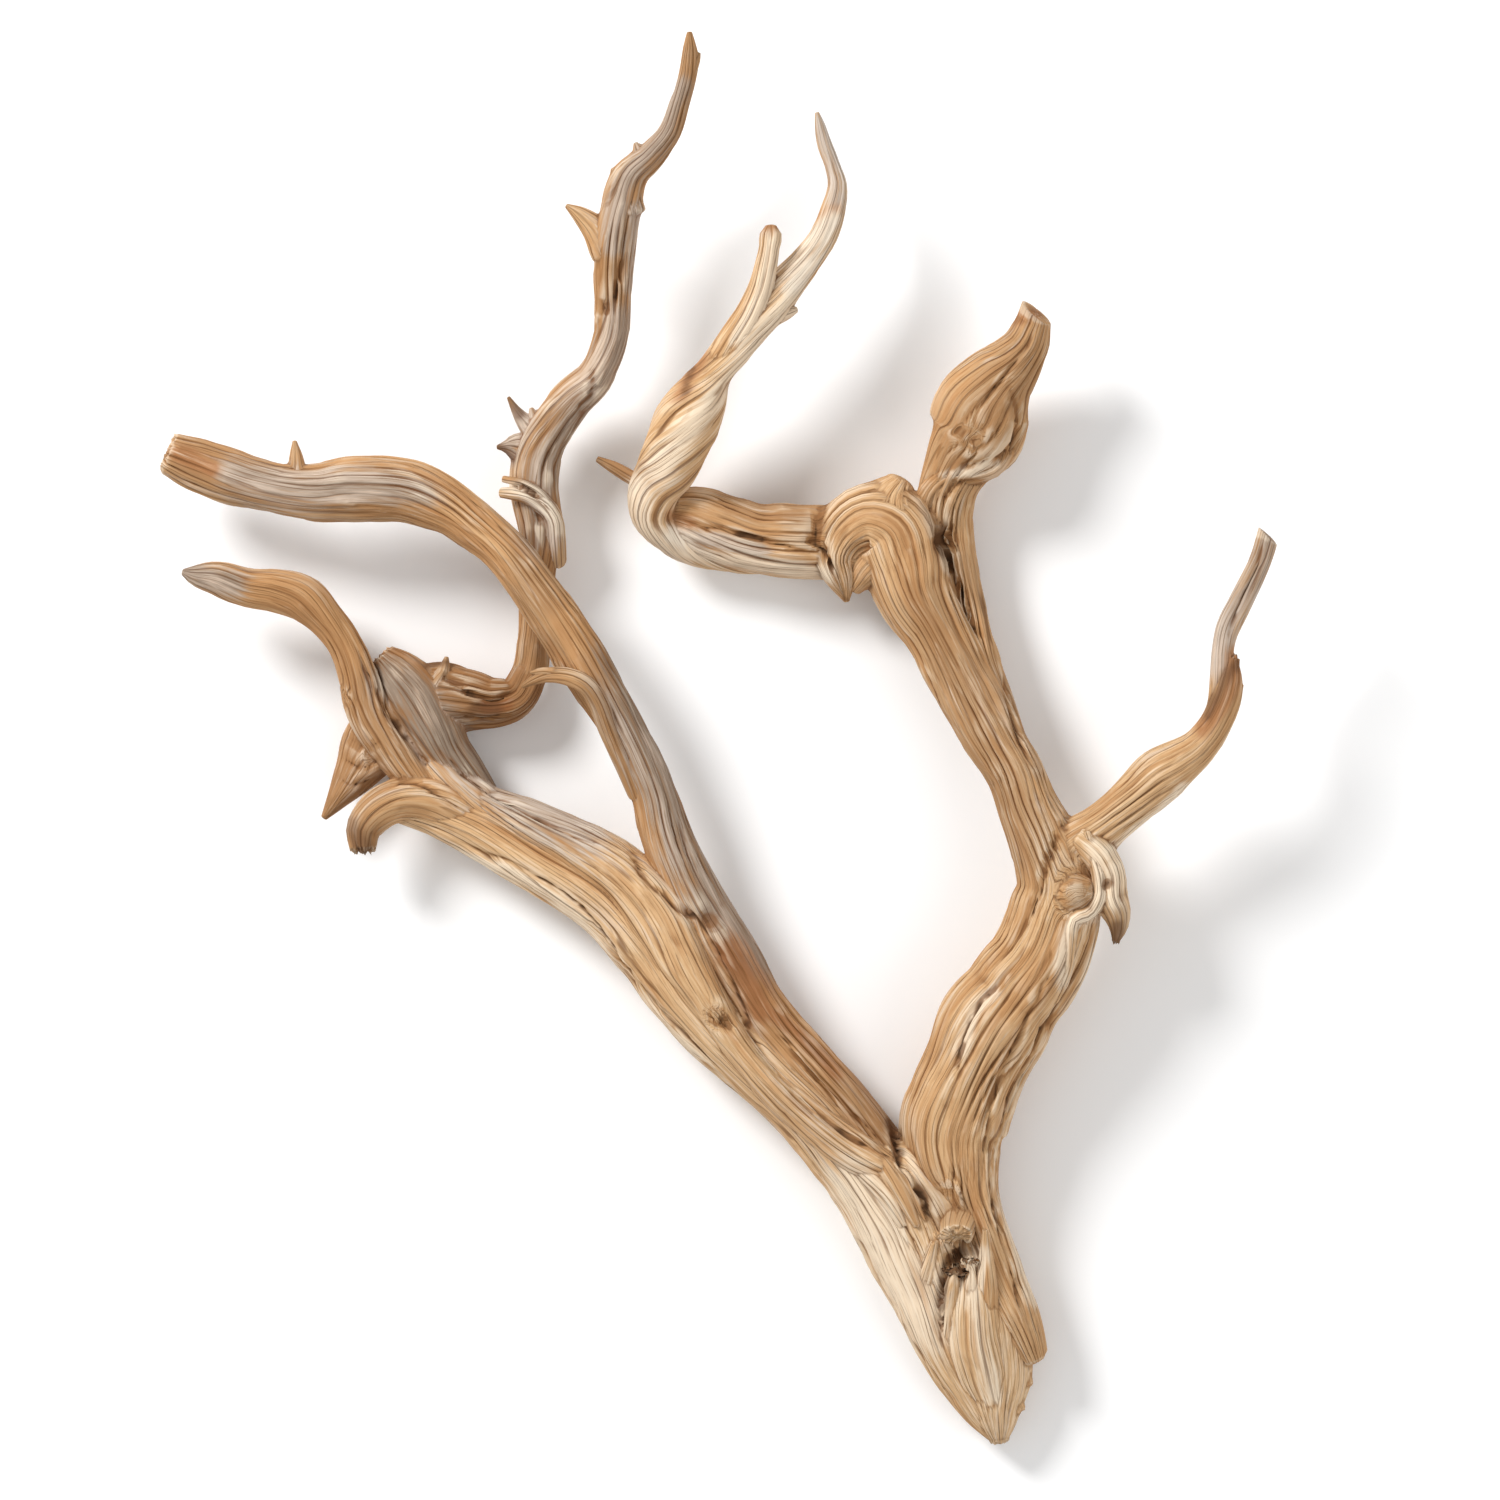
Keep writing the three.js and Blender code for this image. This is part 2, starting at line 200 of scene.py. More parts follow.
KNEE_SHOULDER = [
    (-140, 14, 13, 22, 24), (-128, 20, 13.5, 29, 27), (-114, 20, 14, 25, 25),
    (-102, 19, 14.5, 19, 20), (-93, 22, 14.5, 15.5, 17), (-88, 31, 14.5, 14, 16),
]
BACK_LIMB = [
    (-93, 19, 14.5, 14, 15), (-88, 30, 14.5, 15, 16), (-86.5, 44, 14.5, 14, 15),
    (-86, 58, 15, 14.5, 15), (-84, 76, 16.5, 17, 17), (-83.5, 92, 19, 19.5, 19),
    (-85.5, 106, 21.5, 20.5, 19.5), (-84.5, 118, 23, 20.5, 19.5), (-78.5, 130, 25, 18.5, 19),
    (-71, 140, 27, 17, 17), (-62, 149, 30, 15, 15.5), (-56, 163, 33, 15, 15),
    (-54.5, 178, 36.5, 14.5, 15), (-54.5, 192, 40, 16.5, 15.5), (-53.5, 205, 43, 17.5, 15.5),
    (-51, 218, 45.5, 16.5, 14.5), (-47.5, 229, 47.5, 14, 13), (-39.5, 236.5, 49.5, 11.5, 11.5),
    (-32, 245.5, 51, 9.5, 9.5), (-28, 257, 53, 8, 8.5), (-25, 268, 55, 7.7, 8),
    (-24, 278, 57, 6, 6.5), (-24, 285, 58, 2.2, 3),
]
RIGHT_TRUNK = [
    (113, -243, 16, 13, 18), (107, -229, 18, 20, 25), (98, -211, 19.5, 26, 29),
    (90, -191, 20.5, 28, 32), (84, -172, 22.5, 33, 34), (81, -154, 24, 42, 37),
    (85, -139, 25.5, 42, 38), (90, -126, 27, 41, 38), (97, -111, 28.5, 43, 39),
    (107, -96, 30.5, 41, 38), (116, -82, 33, 38, 36), (121, -67, 35, 37, 36),
    (123, -53, 36.5, 34, 34), (118, -37, 37, 29, 31), (111, -22, 36, 24, 27),
    (106, -9, 34.5, 23, 26), (98, 4, 32.5, 25.5, 26), (90, 18, 30, 27, 27),
    (82, 33, 28, 27, 28), (74, 48, 26, 27.5, 29), (66, 62, 24.5, 31, 30),
    (62, 76, 23.5, 36, 31), (57, 88, 23, 38, 31), (47, 91.5, 22.5, 32, 29),
    (38.5, 86, 22.5, 26, 26), (34.5, 77, 22.5, 19, 23), (37, 68, 21.5, 13, 17),
    (38.7, 60, 20, 3, 5),
]
KNUCKLE = [
    (60, 68, 19, 24, 28), (59, 82, 20, 30, 33), (57, 93, 21, 31, 31),
    (57, 101, 21.5, 24, 26), (60, 106.5, 21.5, 13, 18),
]
ELBOW_LIMB = [
    (56, 78, 15, 20, 24), (46, 81, 16, 30, 29), (32, 83.5, 17.5, 31, 30),
    (16, 84, 19.5, 29, 31), (2, 85, 21, 28, 28), (-12, 89, 21.5, 29, 27),
    (-25, 93, 22, 26, 25), (-35, 94, 23, 18, 19),
]
RISING_LIMB = [
    (20, 75, 17, 9, 10), (2, 76.5, 17.5, 13, 15), (-18, 79.5, 19, 14, 17),
    (-29, 85, 22, 16, 19), (-38, 93, 26.5, 18, 21), (-38.5, 103, 31, 21, 23),
    (-33.5, 113, 34.5, 23.5, 24), (-29, 123, 38, 25.5, 25), (-24.5, 132.5, 41, 26, 25),
    (-19, 142, 43, 23, 22), (-14, 150, 44.5, 17, 18), (-8, 158.5, 46, 16.5, 17),
    (-1, 168, 47, 18, 17.5), (7, 177, 47.5, 18, 16.5), (15, 186, 47, 14.5, 14),
    (22, 194, 46, 12.5, 12.5), (29, 204, 45, 11.2, 11.5), (33, 215, 44, 10.2, 10.5),
    (35, 225, 43, 8, 9), (33, 233, 42, 6.2, 7), (30, 241, 41.5, 6, 6.5),
    (28, 249, 41, 4.2, 5), (26.8, 254, 41, 1.8, 2.5),
]
FORK_STUB = [
    (-14, 150, 45, 12, 14), (-7, 162, 48.5, 12, 13.5), (0, 173, 51, 11.5, 12),
    (4.5, 184, 53, 10, 10.5), (6.8, 194, 54, 8.6, 9), (7.8, 200, 54.5, 8, 8.5),
    (8.4, 205, 54.5, 9, 9), (8.4, 208, 54.5, 5, 6),
]
FORK_SPUR = [
    (4, 173, 46, 12, 12), (13, 174, 46, 7, 8), (18.5, 175.5, 46.5, 2.5, 3),
]
ELBOW_TWIG = [
    (-34, 104, 24, 8, 9), (-45, 108, 20, 6, 7), (-54, 113, 18, 5, 6),
    (-61, 116.5, 17, 2.5, 3),
]
BULB_LIMB = [
    (106, -6, 30, 16, 20), (99, 16, 25, 16, 22), (91, 38, 21, 17, 22),
    (86, 60, 18, 17, 20), (81.5, 78, 18, 19, 20), (78.5, 92, 19.5, 22, 21),
    (79.5, 104, 21.5, 24, 23), (84, 115, 24, 29, 27), (90.5, 126, 27, 38, 32),
    (93.5, 138, 29.5, 38, 32), (99, 148, 32.5, 31, 28), (105.5, 156, 36, 23, 22),
    (110, 163, 40, 18, 17), (112, 169, 43, 15, 14), (112.8, 171.5, 44, 14, 12.5),
]
RIGHT_LIMB = [
    (119, -58, 34, 16, 18), (125, -47, 38, 24, 25), (131, -39, 40, 24.5, 24),
    (139, -32, 41.5, 20.5, 21), (147, -25, 43, 19, 20), (155, -18, 44.5, 20, 20.5),
    (163, -10.5, 46, 21.5, 21), (171, -5, 47.5, 19, 19), (179, 1.5, 49, 15.5, 16),
    (185, 10, 50.5, 13, 13.5), (189, 20, 52, 12.5, 12.5), (190.8, 29, 53, 10, 10.5),
    (191.5, 36, 53.5, 5, 7),
]
RIGHT_TIP = [
    (176, -3, 46, 7, 9), (183, 7, 49, 9, 11), (186.5, 18, 51, 9.5, 11),
    (187.6, 30, 52.5, 9.5, 10.5), (188, 40, 53.5, 9, 9.5), (190, 49, 54.5, 9.8, 10),
    (195, 59, 56, 10, 10), (200, 69, 58, 9.8, 9.8), (203.5, 77, 59.5, 9.4, 9),
    (205, 82.5, 60.5, 9, 8.5),
]
SIDE_KNOB = [
    (122, -58, 42, 14, 16), (127, -57, 46.5, 17, 18), (131.5, -56, 49.5, 16, 16),
    (135, -55.5, 50.5, 10, 10),
]
CROSSING_SPUR = [
    (-180, 106, 38, 10, 12), (-181, 117, 39, 6, 7), (-181.6, 123, 39.5, 2, 3),
]
CURL_SPUR = [
    (-45, -18, 35, 7, 9), (-50.5, -4, 39.5, 8, 10), (-56.5, 9, 44.5, 8, 9),
    (-60.5, 19, 49.5, 8.5, 8.5), (-65.5, 26, 53.5, 8, 7), (-73, 29.5, 55, 7.5, 6.5),
    (-80.5, 29.8, 55, 6, 5.5), (-86.5, 27.6, 53.5, 4, 4), (-90.5, 25.3, 52, 1.8, 2),
]
BACK_CURL = [
    (-77, 76, 17, 8, 12), (-77.5, 85, 24, 8.5, 11), (-78.5, 92.5, 28.5, 8.5, 9),
    (-83, 98.3, 31, 8.5, 8), (-89, 101.6, 31.5, 7.5, 7), (-95, 102.5, 30, 6, 6),
    (-99.5, 102.8, 28.5, 4.5, 4.5),
]
KNOB_LIP = [
    (134, -33, 50, 4, 6), (136.5, -41, 50.5, 5.5, 7), (139, -50, 50, 6.5, 8),
    (139, -58, 49.5, 6.5, 8), (135, -64.5, 49.5, 6.5, 7), (128.5, -67, 51, 6.5, 7),
    (127, -76, 48.5, 5.5, 7), (126, -87, 44.5, 5, 7), (121.6, -100, 40, 4, 6),
]
KNOB_HOOK = [
    (131, -35, 46, 12, 14), (139, -42, 46, 14, 17), (143, -50, 45, 14, 17),
    (143.5, -59, 44, 14, 16), (146, -65, 42.5, 11.5, 13), (146.8, -71, 41, 7.5, 9),
    (146, -75.5, 40, 3.5, 4.5),
]
TORN_STUB = [
    (84.5, -182, 22, 16, 14), (83, -189, 32, 17, 14), (82.3, -193.5, 38, 15, 12.5),
]
BUTT_SPLINTERS = [
    [(79, -240, 21, 9, 9), (79.5, -222, 30.5, 9, 9), (82, -206.5, 38, 3.5, 4.5)],
    [(95, -236, 23, 10, 9), (94.5, -213, 33, 9, 8.5), (93.8, -192, 39.5, 2.5, 3.5)],
    [(88, -232, 25, 8, 8), (88, -216, 33, 6.5, 6.5), (88, -203.5, 38, 3, 3.5)],
    [(66, -226, 22, 9, 9), (70.5, -210, 29.5, 8.5, 8), (73.5, -197, 35, 3.5, 4.5)],
    [(104, -222, 17, 10, 15), (110.5, -235, 16, 10, 14), (114, -243, 15, 8, 11)],
    [(100, -232, 16, 10, 15), (106, -245, 15, 10, 13), (110, -254, 14, 7, 10)],
    [(96, -242, 15, 10, 14), (103, -255, 14, 9, 12), (107.5, -264, 13, 6, 9)],
    [(94, -250, 14, 10, 13), (99, -263, 13, 9, 11), (103, -271, 12, 6, 8)],
]
CREST_FOLDS = [
    [(33, -156, 27, 8, 8), (44, -166, 33, 9, 9), (55, -178, 35, 8.5, 8), (61, -189, 33, 5, 6)],
    [(42, -155, 27, 8, 8), (52, -164, 35, 8.5, 9), (60.5, -177, 36.5, 8, 8), (66.5, -189, 35, 4, 5)],
    [(52, -161, 27, 7, 8), (59, -167, 35, 7, 8), (65, -176, 36, 6, 7), (70, -187, 35, 3, 4)],
]
NECK_FOLD = [
    (77, 80, 17, 7, 10), (71.5, 90, 21, 9, 12), (71, 101, 25, 11, 13),
    (78, 108.5, 28, 10, 12), (89, 109.5, 30, 9.5, 12), (98, 113, 31, 9, 12),
    (103.5, 123, 31, 9, 13), (105.5, 135, 32, 8, 11), (104, 148, 34, 6, 8),
]
BULB_WRAP = [
    (76, 116, 24, 8, 10), (84, 118, 30, 10, 11), (93, 124, 33, 11, 11),
    (98, 134, 35, 11, 11), (99, 145, 36.5, 9, 9), (98, 153, 37, 6, 6),
]
SPURS = [
    [(-78, 95, 28, 5, 6), (-84, 102.5, 32, 4.5, 5), (-91, 106.5, 32, 4, 4.5), (-98.5, 108.3, 29.5, 3, 3)],
    [(-76, 30, 55, 5.5, 5), (-82, 31.5, 56, 3.5, 3.5), (-87, 30.8, 54.5, 1.5, 2)],
    [(-126, 26, 20, 9, 12), (-122.5, 32, 20, 6, 8), (-121.5, 37, 20, 2, 3)],
    [(-87, 120, 22, 17, 14), (-95, 121.5, 22.5, 11, 10), (-98, 121.5, 23, 5, 5), (-101, 121.2, 23, 2, 2.5)],
    [(-84, 126, 24, 13, 12), (-90, 131.5, 25, 7.5, 8), (-93.5, 136, 25.5, 4, 5), (-96.5, 141, 26, 1.5, 2)],
    [(-84, 128, 25, 9, 9), (-86.5, 133.5, 26, 5, 6), (-87.5, 136.5, 26, 2, 3)],
    [(56, 78, 21, 16, 26), (47, 72, 21.5, 15, 22), (42, 65, 20, 7, 12)],
    [(-56, 200, 43, 18, 12), (-62, 208, 44, 12, 8), (-68, 213.5, 45, 7, 5), (-73, 216.8, 45, 2, 2.5)],
    [(-49, 214, 45, 14, 12), (-51.5, 225, 46, 11, 10), (-53, 231.5, 46.5, 6, 6)],
    [(-41, 232, 48, 9, 9), (-44, 238, 49, 6, 6), (-45.5, 241.5, 49, 2, 2.5)],
    [(-24, 270, 55, 6, 6), (-21.5, 274, 55, 4, 5), (-20.5, 277, 55, 2, 3)],
    [(187, 22, 52, 8, 8), (192, 30, 54, 5, 6), (194, 36, 54, 2, 3)],
    [(186, 14, 51, 9, 8), (192.5, 20.5, 52.5, 6, 6), (195.5, 26, 53, 2, 3)],
]

# ---------------------------------------------------------------------------------------------
# Marks on the grown wood. Points are [x, y] seen from above, in mm.

CRACKS = [  # half width, depth, course
    (0.9, 3.2, [(24, -166), (39, -192), (48, -208), (57, -224), (65, -240), (80, -260)]),
    (
        0.65, 2.5,
        [(137, -70), (127, -96), (115, -116), (103, -144), (97, -172), (101, -196), (107, -216), (113, -234)],
    ),
    (1.2, 5.0, [(57, -148), (59, -158), (63, -169), (69, -179), (75, -192)]),
    (0.6, 1.3, [(-162, 5), (-155, 1), (-147, 3)]),
    (0.6, 1.3, [(-163, -3), (-155, -7), (-147, -4)]),
    (0.6, 1.2, [(-164, -11), (-158, -14), (-151, -11)]),
    (0.8, 3.0, [(-94, 106.5), (-86, 101), (-80, 95)]),
    (0.65, 3.1, [(83, -200), (79, -207), (76, -224), (77, -240)]),
    (0.8, 2.8, [(-50, -33), (-40, -53), (-24, -66), (-11, -84), (-3, -104), (4, -120), (16, -134)]),
    (
        0.7, 2.8,
        [(-116, -37), (-92, -47), (-76, -57), (-64, -68), (-50, -88), (-28, -113), (-6, -137), (12, -154)],
    ),
    (0.9, 3.0, [(16, -134), (30, -147), (46, -157), (58, -162)]),
    (0.65, 2.5, [(10, -112), (24, -128), (40, -144), (54, -158)]),
    (0.75, 2.8, [(100, -92), (92, -100), (86, -110), (82, -130)]),
    (0.55, 2.2, [(122, -84), (110, -108), (99, -132), (94, -158), (92, -180)]),
    (0.7, 2.8, [(126, -27), (119, -42), (114, -58), (107, -76)]),
    (1.0, 3.4, [(28.5, 100), (27, 91), (26, 84), (30, 77), (35, 68), (38, 61)]),
    (0.65, 2.2, [(-26, 91), (-8, 87), (12, 82), (28, 78)]),
    (0.55, 2.2, [(114, 168), (105, 153), (94, 141), (83, 129)]),
    (0.6, 2.2, [(104, 144), (107, 132), (104, 120), (94, 114), (83, 114)]),
    (0.55, 2.2, [(76, 100), (84, 106), (94, 106), (101, 103)]),
    (1.1, 4.0, [(72, 96), (76, 86), (80, 76), (85, 62), (91, 46)]),
    (0.8, 3.0, [(104, 40), (103, 26), (106, 10), (112, -6)]),
    (0.6, 2.4, [(190, 46), (194, 58), (200, 70), (203, 80)]),
    (0.7, 2.6, [(140, -44), (154, -34), (168, -20)]),
    (0.8, 2.0, [(-154, 32), (-147, 20), (-138, 6), (-128, -8)]),
    (0.8, 2.6, [(-124, 30), (-112, 24), (-102, 20), (-94, 24)]),
    (0.6, 2.2, [(-118, 14), (-108, 12), (-96, 14)]),
    (0.8, 2.6, [(-146, -14), (-136, -12), (-126, -16), (-116, -24)]),
    (0.65, 2.5, [(-124, 0), (-108, -14), (-86, -27), (-62, -37)]),
    (0.6, 2.2, [(-64, 152), (-63, 143), (-68, 136)]),
    (0.6, 2.2, [(-50, 196), (-53, 184), (-54, 172)]),
]
POCKETS = [  # x, y, radius, depth
    (84, -203, 5.0, 9.0),
    (-17, -69, 4.0, 3.5),
    (-10, -109, 3.0, 2.5),
    (142, -54, 1.8, 3.0),
    (-165, 17, 2.2, 3.0),
    (79, 84, 4.0, 6.0),
    (-85, 92, 2.0, 3.0),
    (-58, 176, 2.0, 3.0),
]
# Strokes of colour: half width, course. First the places stained red brown.
RED = [
    (8.0, [(-9, -80), (0, -92), (5, -104)]),
    (3.5, [(8, -104), (20, -114), (34, -128)]),
    (4.0, [(-28, 140), (-24, 148), (-19, 156)]),
    (4.0, [(193, 38), (192, 26), (186, 16), (180, 9)]),
    (3.0, [(108, 172), (114, 174)]),
    (3.0, [(-32, 93), (-24, 91)]),
    (3.5, [(-106, 17), (-98, 18)]),
    (4.0, [(-215, 112), (-228, 118)]),
    (3.0, [(26, 213), (34, 215)]),
    (3.0, [(6, 206), (10, 208)]),
]
GREY = [  # bleached grey
    (13.0, [(-54, 36), (-42, 6), (-34, -16), (-24, -42), (-10, -66), (4, -84)]),
    (12.0, [(-128, 10), (-115, -3), (-101, -14), (-86, -25), (-66, -32)]),
    (9.0, [(-84, 86), (-82, 112), (-70, 132), (-56, 148), (-50, 170)]),
    (5.0, [(-46, 184), (-44, 214)]),
    (9.0, [(-144, 30), (-132, 20), (-124, 8)]),
    (5.0, [(16, 186), (26, 202), (34, 218), (28, 250)]),
    (6.0, [(-206, 66), (-226, 72)]),
    (7.0, [(206, 84), (201, 68), (190, 52), (187, 36)]),
    (8.0, [(-130, 102), (-150, 106), (-180, 104), (-206, 110)]),
    (4.0, [(-30, 86), (-12, 83), (4, 80)]),
    (7.0, [(-92, 132), (-96, 120)]),
    (5.0, [(-54, 200), (-50, 226), (-36, 242), (-27, 264)]),
]
BROWN_AND_SHADE = [  # darker, browner wood, and soft painted shade in crotches and low places
    (13.0, [(-146, 103), (-180, 104), (-222, 114)]),
    (15.0, [(-124, 26), (-110, 20), (-94, 20), (-87, 40)]),
    (14.0, [(-150, 22), (-136, 6)]),
    (15.0, [(-156, 6), (-154, -6), (-164, -20)]),
    (9.0, [(-158, -24), (-153, -38)]),
    (17.0, [(84, 116), (92, 130), (104, 148)]),
    (13.0, [(-85, 60), (-85, 110), (-70, 140), (-58, 160)]),
    (9.0, [(38, -136), (54, -152)]),
    (14.0, [(110, -40), (90, 16), (70, 56)]),
    (8.0, [(74, 98), (80, 80), (88, 60)]),
    (8.0, [(-6, 100), (14, 95), (24, 90)]),
    (6.0, [(-62, 117), (-44, 108)]),
    (5.0, [(104, 30), (106, 10), (113, -8)]),
    (7.0, [(-62, 24), (-54, 4), (-46, -14)]),
    (8.0, [(-56, 170), (-54, 200), (-50, 225), (-36, 242), (-26, 276)]),
    (5.0, [(146, -66), (147, -74)]),
    (5.0, [(131, -54), (130, -60)]),
    (7.0, [(70, -176), (78, -186), (86, -184)]),
]
PAINTED_HIGHLIGHTS = [  # painted highlights where ridges, edges and faces catch the light
    (3.0, [(20, -172), (36, -198), (52, -228), (68, -254)]),
    (3.5, [(141, -78), (131, -102), (119, -122), (107, -150), (102, -174), (107, -198), (114, -220)]),
    (3.0, [(-118, -42), (-90, -52), (-66, -72), (-44, -100), (-20, -126)]),
    (5.0, [(92, -202), (89, -218), (93, -240), (98, -258)]),
    (14.0, [(42, -176), (56, -204), (70, -232)]),
    (6.0, [(-26, 80), (-42, 88), (-45, 104)]),
    (3.5, [(-26, 79), (-4, 75), (20, 72), (32, 70)]),
    (7.0, [(-36, 112), (-22, 130), (-8, 146), (6, 164), (20, 182)]),
    (3.0, [(-99, 105.5), (-89, 103), (-81, 97), (-76, 88)]),
    (5.0, [(-4, 164), (6, 184), (8, 200)]),
    (4.0, [(136, -38), (140, -54), (136, -65), (127, -70), (124, -92)]),
    (5.0, [(144, -46), (145, -60)]),
    (3.0, [(98, -96), (90, -104), (84, -120)]),
    (2.5, [(78, 110), (90, 111), (98, 114)]),
    (3.0, [(140, -43), (150, -36), (162, -26), (173, -15)]),
    (5.0, [(14, 184), (24, 198), (32, 212)]),
]
PAINTED_SHADE = [  # painted shade in hollows, pockets and crotches
    (2.5, [(56, -149), (60, -160)]),
    (3.0, [(85, -201), (83, -206)]),
    (2.5, [(78, -206), (76, -222)]),
    (5.0, [(-160, -30), (-154, -39)]),
    (2.5, [(-92, 134), (-97, 141)]),
    (2.5, [(-95, 117), (-101, 121)]),
    (1.5, [(-130, 34), (-122, 35)]),
    (4.0, [(-110, 16), (-102, 16)]),
    (3.0, [(78, 78), (78, 88)]),
    (2.0, [(-26, 142), (-23, 152)]),
    (2.5, [(181, 13), (187, 24), (193, 34)]),
    (3.0, [(146.5, -70), (146, -76)]),
]
FRAYED = [  # torn wood with loose fibres
    (3.5, [(74, -192), (84, -202)]),
    (2.0, [(-12, -106), (-8, -112)]),
]

# Strokes by name; the brown ones are partly painted shade, the dark ones painted shade, the pale ones painted
# highlights.
STROKES = {"red": RED, "grey": GREY, "brown": BROWN_AND_SHADE, "pale": PAINTED_HIGHLIGHTS, "dark": PAINTED_SHADE, "fray": FRAYED}

# ---------------------------------------------------------------------------------------------
# Growing a limb: a bent stem whose skin follows the grain.


def blend(way, k0, k1, start, end):
    """The values on the line from start, at k0 on the way, to end, at k1."""
    return (k1 - way) / (k1 - k0) * start + (way - k0) / (k1 - k0) * end


def smooth_course(stations, spacing):
    """Evenly spaced rows on a smooth curve through the stations, and the way walked at each."""
    points = np.array(stations, dtype=float)
    padded = np.vstack([2 * points[0] - points[1], points, 2 * points[-1] - points[-2]])
    strides = np.linalg.norm(np.diff(padded[:, :3], axis=0), axis=1) ** 0.5
    knots = np.concatenate([[0.0], np.cumsum(strides)])
    rows = []
    for i in range(len(points) - 1):
        k0, k1, k2, k3 = knots[i : i + 4]
        p0, p1, p2, p3 = padded[i : i + 4]
        way = np.linspace(k1, k2, FINE_STEPS, endpoint=False)[:, None]
        a1, a2, a3 = blend(way, k0, k1, p0, p1), blend(way, k1, k2, p1, p2), blend(way, k2, k3, p2, p3)
        b1, b2 = blend(way, k0, k2, a1, a2), blend(way, k1, k3, a2, a3)
        rows.append(blend(way, k1, k2, b1, b2))
    rows = np.vstack([*rows, points[-1:]])
    walked = np.concatenate([[0.0], np.cumsum(np.linalg.norm(np.diff(rows[:, :3], axis=0), axis=1))])
    count = max(4, int(round(walked[-1] / spacing)))
    marks = np.linspace(0.0, walked[-1], count + 1)
    return np.stack([np.interp(marks, walked, column) for column in rows.T], axis=1), marks


def soft_average(values, reach):
    """Each value averaged with its neighbours, reach of them on each side."""
    padded = np.pad(values, reach, mode="edge")
    kernel = np.hanning(2 * reach + 3)[1:-1]
    return np.convolve(padded, kernel / kernel.sum(), mode="valid")


